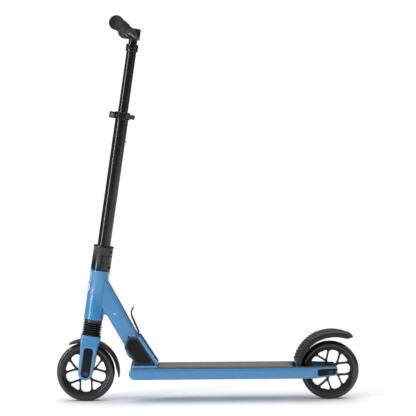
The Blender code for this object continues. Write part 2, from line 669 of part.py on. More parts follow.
def stop_wall():
    """The curved front wall that the down tube leans on when it is upright."""
    reach = DOWN_TUBE_HALF_HEIGHT + GAP
    up = Vector((along_tube.x, along_tube.z))
    out = -Vector((behind_tube.x, behind_tube.z))
    centre = Vector((PIVOT_X, PIVOT_Z))
    facing = degrees(atan2(out.y, out.x)) % 360
    lobe = (PIVOT_X + 0.004, PIVOT_Z - 0.013)
    top_inner = centre + out * reach + up * 0.006
    top_outer = centre + out * (reach + 0.0022) + up * 0.006
    inner = arc(tuple(centre), reach + 0.0002, facing, facing + 62, 8)
    outer = arc(lobe, 0.023, 186, 282, 9)
    return [tuple(top_inner)] + inner + outer[::-1] + [tuple(top_outer)]


def build_cover(side, label):
    """A plastic cover over one side of the hinge, open towards the cheek."""
    centre = (PIVOT_X, PIVOT_Z)

    def outline(inset):
        left = (CORNER_LEFT[0] + inset * 1.1, CORNER_LEFT[1] + inset)
        right = (CORNER_RIGHT[0] - inset * 1.9, CORNER_RIGHT[1] + inset)
        return tangent_outline(centre, COVER_RADIUS - inset, left, right, 0.003)

    cover = piece(f"hinge_cover_{label}",
                  prism(outline(0), "Y", *sorted((side * COVER_INNER, side * COVER_OUTER))),
                  black_plastic, deck_frame)
    recess = 0.0013
    floor = COVER_OUTER - recess
    cut(cover, prism(outline(COVER_WALL), "Y", *sorted((side * (COVER_INNER - 0.002),
                                                         side * (floor - COVER_WALL)))),
        prism(outline(0.0045), "Y", *sorted((side * floor, side * (COVER_OUTER + 0.002)))))
    join(cover, rod(0.0026, *sorted((side * (floor - 0.001), side * (COVER_OUTER - 0.0002))), "Y", centre, 16))


def build_pivot():
    centre = (PIVOT_X, PIVOT_Z)
    seat = CHEEK_OUTER + GAP
    head = 0.0028
    bolt = [(0, -seat - head), (0.0066, -seat - head), (0.0066, -seat), (PIVOT_BOLT_RADIUS, -seat),
            (PIVOT_BOLT_RADIUS, seat + 0.0030), (0, seat + 0.0030)]
    piece("pivot_bolt", turned(bolt, "Y", 20, centre, closed=False), bare_steel, deck_frame)
    nut = piece("pivot_nut", rod(0.0066, seat, seat + 0.0036, "Y", centre, 6), bare_steel, deck_frame)
    cut(nut, rod(PIVOT_BOLT_RADIUS + GAP, seat - 0.001, seat + 0.005, "Y", centre, 20))


# --------------------------------------------- front frame (tube's own axes)
def tube_box(low, high, half_height, half_width):
    """A block along the down tube: +Z up the tube, +X behind it, from the fold pivot."""
    return box((-half_height, -half_width, low), (half_height, half_width, high))


def head_joint():
    """Distance up the down tube at which it meets the steering axis."""
    reach = FRONT_AXLE - PIVOT
    lean = Vector((sin(STEERING_LEAN), 0, cos(STEERING_LEAN)))
    across = lean.x * along_tube.z - lean.z * along_tube.x
    return (lean.x * reach.z - lean.z * reach.x) / across


def build_front_frame():
    meet = head_joint()
    half, wide = DOWN_TUBE_HALF_HEIGHT, DOWN_TUBE_HALF_WIDTH
    spread = 0.0015
    side_view = arc((0, 0), half, 180, 360, 14)[:-1]
    side_view += [(half, 0), (half + spread, meet), (-half - spread, meet)]
    frame = piece("front_frame", prism(side_view, "Y", -wide, wide), blue_paint, tube_axis)
    wall = DOWN_TUBE_WALL
    hollow = rounded([(-half + wall, -half * 0.35, 0), (half - wall, -half * 0.35, 0),
                      (half - wall, meet - 0.03, 0), (-half + wall, meet - 0.03, 0)])
    to_tube = (WORLD[tube_axis].inverted() @ WORLD[steer_axis])
    head = moved(rod(HEAD_RADIUS, HEAD_BOTTOM, HEAD_TOP, segments=40), to_tube)
    gusset = [(-half - 0.0015 - 0.0125, meet - 0.0660), (-half + 0.004, meet - 0.0880),
              (-half + 0.004, meet - 0.0400), (-half - 0.030, meet - 0.0400)]
    cut(frame, prism(hollow, "Y", -wide + wall, wide - wall))
    join(frame, rod(0.0078, -wide + 0.001, wide - 0.001, "Y", (0, 0), 20))
    join(frame, prism(gusset, "Y", -0.012, 0.012), head)
    bore = [(0, HEAD_BOTTOM - 0.01), (BEARING_SEAT + GAP, HEAD_BOTTOM - 0.01),
            (BEARING_SEAT + GAP, HEAD_BOTTOM + BEARING_HEIGHT + 0.001),
            (STEERER_RADIUS + 0.0012, HEAD_BOTTOM + BEARING_HEIGHT + 0.001),
            (STEERER_RADIUS + 0.0012, HEAD_TOP - BEARING_HEIGHT - 0.001),
            (BEARING_SEAT + GAP, HEAD_TOP - BEARING_HEIGHT - 0.001),
            (BEARING_SEAT + GAP, HEAD_TOP + 0.01), (0, HEAD_TOP + 0.01)]
    cut(frame, moved(turned(bore, segments=24, closed=False), to_tube),
        rod(PIVOT_BOLT_RADIUS + GAP, -0.03, 0.03, "Y", (0, 0), 20))
    slot_half = LOCK_RADIUS + GAP
    low, high = LOCK_SEAT, LOCK_SEAT + LOCK_TRAVEL
    slot = arc((0, high), slot_half, 0, 180, 6) + arc((0, low), slot_half, 180, 360, 6)
    cut(frame, prism(slot, "Y", -0.03, 0.03),
        rod(PIN_RADIUS + GAP, -0.03, 0.03, "Y", (LEVER_ABOVE, LEVER_ALONG), 16),
        box((half - 0.006, -0.009, LEVER_ALONG - 0.0115), (half + 0.004, 0.009, LEVER_ALONG + 0.0070)))


def build_lock():
    """The cross pin, the lever that lifts it, and the lever's own pin."""
    reach = CHEEK_OUTER - 0.0002
    lock = piece("lock_pin", rod(LOCK_RADIUS, -reach, reach, "Y", (0, LOCK_SEAT), 16), bare_steel, lock_axis)
    block = 0.0032
    join(lock, box((-0.004, -0.008, LOCK_SEAT - block), (0.004, 0.008, LOCK_SEAT + block)))
    pin_reach = DOWN_TUBE_HALF_WIDTH
    piece("lever_pin", rod(PIN_RADIUS, -pin_reach, pin_reach, "Y", (LEVER_ABOVE, LEVER_ALONG), 16),
          bare_steel, tube_axis)
    thick = LEVER_THICKNESS
    prong = LOCK_SEAT - block - GAP - LEVER_ALONG
    eye = PIN_RADIUS + GAP
    lever = piece("fold_lever", ring(eye, eye + 0.0022, -0.0075, 0.0075, "Y", segments=20),
                  black_paint, lever_axis)
    face = DOWN_TUBE_HALF_HEIGHT - LEVER_ABOVE
    stem = [(eye + 0.0006, -0.0006), (face + 0.0012, -0.0018), (face + 0.0040, -0.0012),
            (face + 0.0052, 0.0016)]
    handle = [(face + 0.0046, -0.0006), (face + 0.0058, 0.0060), (face + 0.0090, 0.0370),
              (face + 0.0118, 0.0490), (face + 0.0160, 0.0560), (face + 0.0235, 0.0605)]
    join(lever, prism(ribbon(stem, thick), "Y", -0.0075, 0.0075),
         prism(ribbon(handle, thick), "Y", -LEVER_HALF_WIDTH, LEVER_HALF_WIDTH),
         box((-LEVER_ABOVE + 0.0011, -0.004, prong - 0.0030), (0.003, 0.004, prong)),
         box((-0.003, -0.004, prong - 0.0030), (0.003, 0.004, -eye - 0.0009)))


def build_badge():
    """A thin round badge that follows the head tube's front."""
    shape = bmesh.new()
    layers = []
    for radius in (HEAD_RADIUS + GAP, HEAD_RADIUS + 0.0011):
        rings = []
        for spread in (0.34, 0.67, 1.0):
            points = arc((0, BADGE_HEIGHT), BADGE_RADIUS * spread, 0, 342, 19)
            rings.append([shape.verts.new((-sqrt(radius ** 2 - y ** 2), y, z)) for y, z in points])
        middle = shape.verts.new((-radius, 0, BADGE_HEIGHT))
        layers.append((middle, rings))
    for i in range(20):
        j = (i + 1) % 20
        for middle, rings in layers:
            shape.faces.new((middle, rings[0][i], rings[0][j]))
            for inner, outer in zip(rings, rings[1:]):
                shape.faces.new((inner[i], outer[i], outer[j], inner[j]))
        back, front = layers[0][1][-1], layers[1][1][-1]
        shape.faces.new((back[i], back[j], front[j], front[i]))
    badge_axis = empty("badge_axis", steering_place, fold_axis)
    piece("head_badge", shape, badge_white, badge_axis)
    for name, low in (("headset_bearing_lower", HEAD_BOTTOM), ("headset_bearing_upper", HEAD_TOP - BEARING_HEIGHT)):
        piece(name, ring(STEERER_RADIUS + GAP, BEARING_SEAT, low, low + BEARING_HEIGHT, segments=24),
              bare_steel, badge_axis)


# ---------------------------------------------- steering column (steer axes)
def build_column():
    inner = STEERER_RADIUS - STEERER_WALL
    joint = SLEEVE_BOTTOM + SLEEVE_HEIGHT / 2
    top = joint - 0.001
    flange = HEAD_RADIUS - 0.0016
    steerer = [(inner, BELLOWS_TOP), (flange, BELLOWS_TOP), (flange, HEAD_BOTTOM - 0.0006),
               (STEERER_RADIUS, HEAD_BOTTOM - 0.0006), (STEERER_RADIUS, top), (0.006, top),
               (0.006, top - 0.004), (inner, top - 0.004)]
    piece("steerer_tube", turned(steerer, segments=24), dark_steel, steer_axis)

    lower_inner = LOWER_TUBE_RADIUS - LOWER_TUBE_WALL
    neck = MIDDLE_TUBE_RADIUS + GAP
    lower = [(lower_inner, joint), (LOWER_TUBE_RADIUS, joint), (LOWER_TUBE_RADIUS, LOWER_TUBE_TOP),
             (neck, LOWER_TUBE_TOP), (neck, LOWER_TUBE_TOP - 0.040), (lower_inner, LOWER_TUBE_TOP - 0.043)]
    tube = piece("lower_tube", turned(lower, segments=28), black_paint, steer_axis)
    cut(tube, rod(BUTTON_RADIUS + GAP, LOWER_TUBE_RADIUS - 0.006, LOWER_TUBE_RADIUS + 0.01, "X",
                  (0, BUTTON_HEIGHT), 16))
    button = [(0, lower_inner), (BUTTON_RADIUS, lower_inner), (BUTTON_RADIUS, LOWER_TUBE_RADIUS + 0.0014),
              (BUTTON_RADIUS - 0.0014, LOWER_TUBE_RADIUS + 0.0028), (0, LOWER_TUBE_RADIUS + 0.0028)]
    piece("height_button", turned(button, "X", 16, (0, BUTTON_HEIGHT), closed=False), bare_steel, button_axis)

    bore_low, bore_high = STEERER_RADIUS + GAP, LOWER_TUBE_RADIUS + GAP
    sleeve = [(bore_low, SLEEVE_BOTTOM), (SLEEVE_RADIUS - 0.0008, SLEEVE_BOTTOM),
              (SLEEVE_RADIUS, SLEEVE_BOTTOM + 0.0008), (SLEEVE_RADIUS, SLEEVE_TOP - 0.0040),
              (SLEEVE_RADIUS + 0.0008, SLEEVE_TOP - 0.0034), (SLEEVE_RADIUS + 0.0008, SLEEVE_TOP),
              (bore_high, SLEEVE_TOP), (bore_high, joint), (bore_low, joint)]
    clamp = piece("clamp_sleeve", turned(sleeve, segments=32), black_paint, steer_axis)
    cut(clamp, box((0.012, -0.0015, SLEEVE_BOTTOM - 0.01), (0.04, 0.0015, SLEEVE_TOP + 0.01)))
    for height in (SLEEVE_BOTTOM + 0.0205, SLEEVE_BOTTOM + 0.0370):
        cut(clamp, box((-0.002, -0.03, height - 0.0007), (0.03, 0, height + 0.0007)))
    for label, height in (("lower", SLEEVE_BOTTOM + 0.0100), ("upper", SLEEVE_TOP - 0.0125)):
        across = (SLEEVE_RADIUS + STEERER_RADIUS) / 2
        centre = (across, height)
        cut(clamp, rod(0.0021 + GAP, -0.03, 0.03, "Y", centre, 12),
            rod(0.0034 + GAP, -0.03, -0.0055, "Y", centre, 16),
            rod(0.0034 + GAP, 0.0075, 0.03, "Y", centre, 16))
        screw = [(0, -0.0080), (0.0017, -0.0080), (0.0019, -0.0092), (0.0034, -0.0092),
                 (0.0034, -0.0055 - GAP), (0.0021, -0.0055 - GAP), (0.0021, 0.0072), (0, 0.0072)]
        piece(f"clamp_bolt_{label}", turned(screw, "Y", 16, centre, closed=False), bare_steel, steer_axis)


def split_collar(name, inner, height, ear, ear_reach, look, parent):
    """A band clamp with two ears on the left and a slit between them."""
    low, high = height - COLLAR_HEIGHT / 2, height + COLLAR_HEIGHT / 2
    outer = inner + COLLAR_WALL
    collar = piece(name, ring(inner, outer, low, high, segments=24), look, parent)
    ears = rounded([(-ear, -ear_reach, 0.002), (ear, -ear_reach, 0.002), (ear, -inner - 0.0010, 0),
                    (-ear, -inner - 0.0010, 0)])
    join(collar, prism(ears, "Z", low + 0.0015, high - 0.0015))
    cut(collar, box((-0.0011, -ear_reach - 0.01, low - 0.01), (0.0011, -inner * 0.7, high + 0.01)),
        rod(SKEWER_RADIUS + GAP, -0.03, 0.03, "X", (-(outer + ear_reach) / 2, height), 16))
    return -(outer + ear_reach) / 2


def build_height_clamp():
    inner = LOWER_TUBE_RADIUS + GAP
    ear_reach = 2 * SKEWER_SIDE - inner - COLLAR_WALL
    split_collar("height_clamp", inner, CLAMP_HEIGHT, 0.0090, ear_reach, black_paint, steer_axis)
    barrel = 0.0076
    tip = -CLAMP_LEVER_FRONT + barrel + GAP
    skewer = [(0, tip), (SKEWER_RADIUS, tip), (SKEWER_RADIUS, 0.0090 + GAP), (0.0040, 0.0090 + GAP),
              (0.0040, 0.0180), (0.0058, 0.0185), (0.0058, 0.0310), (0.0048, 0.0320), (0, 0.0320)]
    piece("clamp_skewer", turned(skewer, "X", 20, (-SKEWER_SIDE, CLAMP_HEIGHT), closed=False),
          dark_steel, steer_axis)
    half = 0.0078
    lever = piece("clamp_lever", rod(barrel, -half, half, segments=24), black_paint, clamp_lever_axis)
    bend = [(-0.0050, 0.0030), (-0.0062, 0.0120), (-0.0052, 0.0230), (-0.0010, 0.0340),
            (0.0062, 0.0430), (0.0140, 0.0490)]
    join(lever, prism(ribbon(bend, 0.0032), "Z", -half + 0.0015, half - 0.0015))


def build_bars():
    inner = MIDDLE_TUBE_RADIUS - MIDDLE_TUBE_WALL
    bottom = SLEEVE_TOP + HEIGHT_TRAVEL + 0.004
    piece("middle_tube", ring(inner, MIDDLE_TUBE_RADIUS, bottom, MIDDLE_TUBE_TOP), black_paint, height_axis)
    collar_at = MIDDLE_TUBE_TOP + 0.0015 - COLLAR_HEIGHT / 2
    side = split_collar("bar_clamp", MIDDLE_TUBE_RADIUS + GAP, collar_at, 0.0062, 0.0235,
                        black_paint, height_axis)
    screw = [(0, -0.0078), (0.0022, -0.0078), (0.0024, -0.0092), (0.0040, -0.0092),
             (0.0040, -0.0062 - GAP), (SKEWER_RADIUS, -0.0062 - GAP), (SKEWER_RADIUS, 0.0092), (0, 0.0092)]
    piece("bar_clamp_bolt", turned(screw, "X", 16, (side, collar_at), closed=False), bare_steel, height_axis)

    stub = inner - GAP
    block_low = BAR_HEIGHT - 0.012
    block_high = block_low + BLOCK_HEIGHT
    stub_end = MIDDLE_TUBE_TOP - BAR_TRAVEL - 0.032
    core = [(0, block_low + 0.001), (0, block_high), (BLOCK_RADIUS - 0.0015, block_high),
            (BLOCK_RADIUS, block_high - 0.0015), (BLOCK_RADIUS, block_low + 0.0015),
            (BLOCK_RADIUS - 0.0015, block_low), (stub, block_low), (stub, stub_end),
            (stub - 0.0018, stub_end), (stub - 0.0018, block_low + 0.001)]
    bar = piece("handlebar", turned(core, segments=32), black_paint, bar_axis)
    for side, label in ((-1, "left"), (1, "right")):
        place = bar_place(side)
        tube = moved(rod(BAR_RADIUS, 0.004, BAR_HALF_SPAN, segments=28), place)
        join(bar, tube)
    for side, label in ((-1, "left"), (1, "right")):
        place = bar_place(side)
        cut(bar, moved(rod(BAR_RADIUS - BAR_WALL, 0.024, BAR_HALF_SPAN + 0.01, segments=20), place))
        end = BAR_HALF_SPAN + 0.0008
        start = end - GRIP_LENGTH
        bore = BAR_RADIUS + GAP
        slim = GRIP_RADIUS - 0.0008
        grip = [(bore, start), (slim - 0.0008, start), (slim, start + 0.0015), (slim, start + 0.0260),
                (slim - 0.0012, start + 0.0275), (slim - 0.0012, start + 0.0295),
                (GRIP_RADIUS, start + 0.0310), (GRIP_RADIUS, end - 0.0060),
                (GRIP_FLANGE_RADIUS, end - 0.0045), (GRIP_FLANGE_RADIUS, end + 0.0008),
                (GRIP_FLANGE_RADIUS - 0.0010, end + 0.0018), (GRIP_FLANGE_RADIUS - 0.0024, end + 0.0018),
                (GRIP_FLANGE_RADIUS - 0.0030, end + 0.0012), (0, end + 0.0012), (0, end - 0.0004),
                (bore, end - 0.0004)]
        piece(f"grip_{label}", moved(turned(grip, segments=20), place), soft_rubber, bar_axis)


def bar_place(side):
    """Axes of one half of the handlebar: +Z runs out along it from the T."""
    out = Vector((-sin(BAR_SWEEP), side * cos(BAR_SWEEP), tan(BAR_RISE))).normalized()
    turn = out.to_track_quat("Z", "X").to_matrix().to_4x4()
    return Matrix.Translation((0, 0, BAR_HEIGHT)) @ turn


# ---------------------------------------------------- fork (steering axes)
def fork_inlay_outline(spread):
    foot, top = 0.0112 + spread, FORK_CROWN_TOP - 0.029 + spread
    outline = arc((0.0002, 0), foot, 180, 360, 8)
    outline += rounded([(foot + 0.0002, 0, 0), (0.0116 + spread, top, 0.0080),
                        (-0.0116 - spread, top, 0.0080), (-foot + 0.0002, 0, 0)])[1:-1]
    return outline


def build_fork():
    half = FORK_HALF_WIDTH
    leg = arc((0, 0), 0.0172, 184, 356, 12)
    top = FORK_CROWN_TOP
    leg += [(0.0187, 0.004), (0.0197, 0.019), (0.0208, top - 0.040), (0.0222, top - 0.024),
            (0.0247, top - 0.009), (0.0254, top + 0.001)]
    leg += [(-u, w) for u, w in leg[:12:-1]]
    fork = piece("fork", prism(leg, "Y", -half, half), blue_paint, fork_axis)
    crown_half = half - 0.0073
    over = 0.01
    lower = top - 0.023 - over * 0.023 / (half - crown_half)
    front_view = rounded([(-half - over, -0.03, 0), (half + over, -0.03, 0), (half + over, lower, 0),
                          (crown_half, top, 0.003), (-crown_half, top, 0.003),
                          (-half - over, lower, 0)])
    keep(fork, prism(front_view, "X", -0.04, 0.04))
    tunnel = FRONT_FENDER_RADIUS + 0.0026
    cut(fork, box((-0.05, -FORK_INNER_HALF, -0.05), (0.05, FORK_INNER_HALF, tunnel)))
    boss = HUB_HALF_WIDTH + GAP
    for side in (-1, 1):
        join(fork, rod(BOSS_RADIUS, *sorted((side * boss, side * (FORK_INNER_HALF + 0.002))), "Y", (0, 0), 20))
    stem_top = top + FORK_STEM_LENGTH
    join(fork, rod(FORK_STEM_RADIUS, top - 0.002, stem_top, segments=32))
    face = half - 0.0040
    cut(fork, rod(FORK_STEM_RADIUS - FORK_STEM_WALL, top + 0.004, stem_top + 0.01, segments=20),
        rod(AXLE_RADIUS + GAP, -0.05, 0.05, "Y", (0, 0), 20))
    for side, label in ((-1, "left"), (1, "right")):
        pocket = sorted((side * (half - INLAY_DEPTH - GAP), side * (half + 0.01)))
        cut(fork, prism(fork_inlay_outline(GAP), "Y", *pocket),
            rod(AXLE_HEAD_RADIUS + GAP, *sorted((side * (face - GAP), side * (half + 0.01))), "Y", (0, 0), 20))
        inlay = piece(f"fork_inlay_{label}",
                      prism(fork_inlay_outline(0), "Y", *sorted((side * (half - INLAY_DEPTH),
                                                                  side * (half - 0.0003)))),
                      black_plastic, fork_axis)
        cut(inlay, rod(AXLE_HEAD_RADIUS + 2 * GAP, *sorted((side * 0.02, side * 0.06)), "Y", (0, 0), 20))
    axle("front", face, fork_axis)

    spring_top = SLEEVE_BOTTOM + SLEEVE_HEIGHT / 2 - 0.005 - GAP
    mean = FORK_STEM_RADIUS - FORK_STEM_WALL / 2 - 0.0025
    piece("suspension_spring", coil(mean, 0.0015, 8, stem_top + GAP, spring_top), bare_steel, steer_axis)


def build_bellows():
    low, high = FORK_CROWN_TOP + GAP, BELLOWS_TOP - GAP
    folds, wall = 4, 0.0014
    outer = HEAD_RADIUS - 0.0002
    inner = outer - 0.0044
    cuff = 0.0040
    step = (high - low - 2 * cuff) / folds
    wave = [(outer - 0.0008, low), (outer - 0.0008, low + cuff - 0.0012)]
    for k in range(folds):
        base = low + cuff + k * step
        wave += [(inner + wall, base), (outer, base + step / 2)]
    wave += [(inner + wall, high - cuff), (outer - 0.0018, high - cuff + 0.0010), (outer - 0.0018, high)]
    back = [(radius - wall * 1.3, height) for radius, height in wave[::-1]]
    piece("bellows", turned(wave + back, segments=24), soft_rubber, fork_axis, sharp=60)


# --------------------------------------------------------------------- fenders
def fender_section(centre, turn, outer, skirt, half, wall, raised=0.0, band=0.0):
    """One cross-section of a fender: a channel open towards the wheel."""
    shoulder = min(0.006, (outer - skirt) * 0.5)
    side = [(half, skirt), (half, outer - shoulder), (half - shoulder * 0.8, outer - shoulder * 0.2),
            (band + 0.001, outer), (band, outer + raised)]
    inner = [(half - wall - shoulder * 0.8, outer - wall - shoulder * 0.1), (half - wall, outer - shoulder - wall * 0.5),
             (half - wall, skirt)]
    run = side + [(-y, r) for y, r in side[::-1]] + [(-y, r) for y, r in inner[::-1]] + inner
    return [(centre[0] + r * cos(turn), y, centre[1] + r * sin(turn)) for y, r in run]


def build_front_fender():
    centre = (0.0015, 0.0)
    outer, half = FRONT_FENDER_RADIUS, FRONT_FENDER_HALF_WIDTH
    drop = 0.0085
    sections = []
    first, last, steps = 129.0, 0.0, 18
    for k in range(steps + 1):
        turn = first + (last - first) * k / steps
        from_end = min(k, steps - k)
        deep = drop * min(1.0, 0.40 + 0.24 * from_end)
        narrow = 0.003 * max(0, 2 - from_end) / 2
        sections.append(fender_section(centre, radians(turn), outer, outer - deep, half - narrow,
                                       FENDER_WALL, 0.0, 0.008))
    fender = piece("front_fender", loft(sections), black_plastic, fork_axis)
    join(fender, rod(0.006, outer - 0.0012, outer + 0.0026 - GAP, centre=(0.0015, 0), segments=16))


def build_rear_fender():
    """The brake fender: a ribbed channel over the wheel, hinged behind the deck."""
    centre = REAR_FENDER_CENTRE - FENDER_PIVOT
    hub = (centre.x, centre.z)
    outer, half = REAR_FENDER_RADIUS, REAR_FENDER_HALF_WIDTH
    skirt = outer - 0.0140
    ribs_from, ribs_to = 166.0, 112.0
    pitch = (ribs_from - ribs_to) / RIB_COUNT
    stations = [(178.0, 0), (172.0, 0)]
    for k in range(RIB_COUNT):
        start = ribs_from - k * pitch
        stations += [(start, 0), (start - pitch * 0.2, 1)]
    stations += [(108.0 - 6.5 * k, 0) for k in range(6)]
    stations += [(70.5, 0.6), (66.0, 0.9), (61.5, 0.8), (58.5, 0.2)]
    last = stations[-1][0]
    sections = []
    for turn, raised in stations:
        tail = max(0.0, (112.0 - turn) / (112.0 - last))
        lift = 0.0030 * tail ** 2 + 0.0105 * max(0.0, (68.0 - turn) / (68.0 - last)) ** 2
        sections.append(fender_section(hub, radians(turn), outer + 0.0010 * tail, skirt + lift,
                                       half - 0.012 * tail ** 1.5, REAR_FENDER_WALL,
                                       RIB_HEIGHT * raised, 0.60 * half - 0.008 * tail))
    fender = piece("rear_fender", loft(sections), black_plastic, fender_axis)
    barrel = 0.0058
    arm_reach = REAR_FENDER_HALF_WIDTH
    link = [(-barrel * 0.7, -0.0040), (0.0040, -0.0042), (0.0090, 0.0010), (0.0060, 0.0190), (-0.0010, 0.0190)]
    for side in (-1, 1):
        low, high = sorted((side * (arm_reach - 0.016), side * (arm_reach + 0.0008)))
        join(fender, prism(link, "Y", low, high), rod(barrel, low, high, "Y", (0, 0), 16))
    cut(fender, rod(PIN_RADIUS + GAP, -0.05, 0.05, "Y", (0, 0), 16))
    pin_reach = PIN_HALF_LENGTH - GAP
    piece("fender_pin", rod(PIN_RADIUS, -pin_reach, pin_reach, "Y", (FENDER_PIVOT.x, FENDER_PIVOT.z), 16),
          bare_steel, deck_frame)

    low, high = WHEEL_RADIUS + PAD_TO_TYRE, outer - REAR_FENDER_WALL - 0.0012
    wheel_hub = (REAR_AXLE.x - FENDER_PIVOT.x, REAR_AXLE.z - FENDER_PIVOT.z)
    under = arc(wheel_hub, low, 150, 118, 6)
    above = arc(hub, high, 119, 149, 6)
    piece("brake_pad", prism(under + above, "Y", -0.0150, 0.0150), dark_steel, fender_axis)
    across = Matrix.Translation(FENDER_PIVOT) @ Matrix.Rotation(pi / 2, 4, "X")
    piece("fender_spring", moved(coil(PIN_RADIUS + 0.0016, 0.0008, 6, -0.010, 0.010), across),
          bare_steel, deck_frame)


# ---------------------------------------------------------------------- build
build_platform()
for side, label in ((-1, "left"), (1, "right")):
    build_rail(side, label)
    build_arm_inlay(side, label)
    build_cover(side, label)
build_mat()
build_bracket()
build_pivot()
build_front_frame()
build_lock()
build_badge()
build_column()
build_height_clamp()
build_bars()
build_fork()
build_bellows()
build_front_fender()
build_rear_fender()
wheel("front", front_wheel_axis, radians(54))
wheel("rear", rear_wheel_axis, radians(4))

rear_face = axle_face()
rear_axle_place = empty("rear_axle_place", place_at(REAR_AXLE), deck_frame)
axle("rear", rear_face, rear_axle_place)
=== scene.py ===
"""Looks of the folding kick scooter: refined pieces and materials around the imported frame."""
import json
from math import acos, atan, atan2, cos, degrees, hypot, pi, radians, sin, sqrt, tan

import bmesh
import bpy
from mathutils import Matrix, Vector

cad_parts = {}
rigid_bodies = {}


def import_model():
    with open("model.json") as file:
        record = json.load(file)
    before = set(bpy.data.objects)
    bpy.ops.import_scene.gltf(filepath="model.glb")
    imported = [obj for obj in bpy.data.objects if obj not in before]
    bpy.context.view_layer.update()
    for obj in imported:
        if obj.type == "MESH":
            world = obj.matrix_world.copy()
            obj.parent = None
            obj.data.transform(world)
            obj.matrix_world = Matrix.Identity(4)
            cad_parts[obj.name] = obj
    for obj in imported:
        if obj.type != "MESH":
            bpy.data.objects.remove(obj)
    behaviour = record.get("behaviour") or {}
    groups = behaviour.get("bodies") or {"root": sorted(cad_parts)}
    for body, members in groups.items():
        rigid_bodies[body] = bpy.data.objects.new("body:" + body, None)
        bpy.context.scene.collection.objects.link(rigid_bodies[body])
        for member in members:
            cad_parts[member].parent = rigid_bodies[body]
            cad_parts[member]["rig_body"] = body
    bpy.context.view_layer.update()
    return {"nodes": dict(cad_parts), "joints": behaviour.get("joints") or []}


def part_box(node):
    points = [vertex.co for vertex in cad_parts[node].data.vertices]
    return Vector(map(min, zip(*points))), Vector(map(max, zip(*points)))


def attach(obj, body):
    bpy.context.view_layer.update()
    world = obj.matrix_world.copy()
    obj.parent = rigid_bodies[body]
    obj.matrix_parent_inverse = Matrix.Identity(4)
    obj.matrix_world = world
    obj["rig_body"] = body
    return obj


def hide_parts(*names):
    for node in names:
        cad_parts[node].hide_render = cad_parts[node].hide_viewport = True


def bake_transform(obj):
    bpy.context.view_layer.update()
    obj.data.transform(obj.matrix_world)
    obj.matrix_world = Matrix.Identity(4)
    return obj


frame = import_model()
scene = bpy.context.scene
JOINTS = {joint["name"]: joint for joint in frame["joints"]}

# ------------------------------------------------------------ places and sizes
FRONT_AXLE = Vector(JOINTS["front_wheel"]["pos_m"])
REAR_AXLE = Vector(JOINTS["rear_wheel"]["pos_m"])
PIVOT = Vector(JOINTS["fold"]["pos_m"])
FENDER_PIVOT = Vector(JOINTS["brake"]["pos_m"])
STEERING = Vector(JOINTS["steering"]["axis"])
LEAN = atan2(STEERING.x, STEERING.z)
SLOPE = radians(60.9)
GAP = 0.0003

WHEEL_RADIUS = FRONT_AXLE.z
TYRE_HALF = 0.014
RIM_RADIUS = 0.057
RIM_INNER = 0.0525
HUB_HALF = 0.012
HUB_RADIUS = 0.014
SPOKE_HALF = 0.005
BEARING_RADIUS = 0.011
BEARING_WIDTH = 0.007
AXLE_RADIUS = 0.004
HEAD_R = 0.006
BOSS_RADIUS = 0.0075
SPOKES = 5
WIDE_WINDOW = (HUB_RADIUS + 0.0016, 0.0118, RIM_INNER - 0.0018, 0.0126, 0.0096, 0.0092)
SMALL_WINDOW = (0.0298, 0.0014, 0.0499, 0.0152, 0.0012, 0.0038)

TUBE_HALF_HEIGHT = 0.0208
TUBE_HALF_WIDTH = 0.02
TUBE_WALL = 0.0028
CHEEK_INNER = TUBE_HALF_WIDTH + 0.0004
CHEEK_OUTER = CHEEK_INNER + 0.005
COVER_INNER = CHEEK_OUTER + GAP
COVER_OUTER = COVER_INNER + 0.0083
COVER_RADIUS = 0.0198
LOCK_SEAT = 0.0179
LEVER_ABOVE = TUBE_HALF_HEIGHT - 0.0089
LEVER_ALONG = 0.0199

HEAD_BOTTOM = 0.134
HEAD_TOP = 0.2575
HEAD_RADIUS = 0.0242
STEERER_RADIUS = 0.0175
SLEEVE_BOTTOM = 0.2585
SLEEVE_TOP = 0.3197
SLEEVE_RADIUS = 0.0244
LOWER_RADIUS = 0.0162
LOWER_TOP = 0.6555
MIDDLE_RADIUS = 0.0122
MIDDLE_WALL = 0.0013
MIDDLE_TOP = 0.823
COLLAR_HALF = 0.009
COLLAR_WALL = 0.0026
CAM_RADIUS = 0.0076
CAM_OFFSET = -0.0237
BAR_HEIGHT = 0.848
BAR_RADIUS = 0.0124
BAR_HALF_SPAN = 0.2405
CROWN_TOP = 0.093
STEM_REACH = 0.092
BELLOWS_TOP = 0.1284
FORK_HALF = 0.0335
FORK_INNER = 0.02
FENDER_RADIUS = 0.084
REAR_FENDER_RADIUS = 0.0955
FENDER_PIN_BORE = 0.0028

DECK_LOW, DECK_HIGH = (corner.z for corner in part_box("deck_platform"))
DECK_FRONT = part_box("deck_nose")[0].x
DECK_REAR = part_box("deck_platform")[1].x
DECK_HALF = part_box("side_rail_right")[1].y
TIP_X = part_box("side_rail_right")[1].x
REAR_ARM = 0.043
AXLE_RECESS = 0.0042
ARM_BEND = REAR_AXLE.x - REAR_ARM
ARM_TIP_HALF = 0.034
RAIL = 0.0087
MAT_LOW, MAT_HIGH = (corner.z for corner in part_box("deck_mat"))
TAPE_LOW, TAPE_HIGH = (corner.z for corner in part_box("grip_tape"))
FLANGE_TOP = MAT_HIGH + GAP + 0.005

STEER = Matrix.Translation(FRONT_AXLE) @ Matrix.Rotation(LEAN, 4, "Y")
TUBE = Matrix.Translation(PIVOT) @ Matrix.Rotation(SLOPE - pi / 2, 4, "Y")
SIDES = ((-1, "left"), (1, "right"))
DOME = 1.03


# ------------------------------------------------------------------ materials
def node(tree, kind, **values):
    made = tree.nodes.new(kind)
    for key, value in values.items():
        if hasattr(made, key):
            setattr(made, key, value)
        else:
            made.inputs[key.replace("_", " ")].default_value = value
    return made


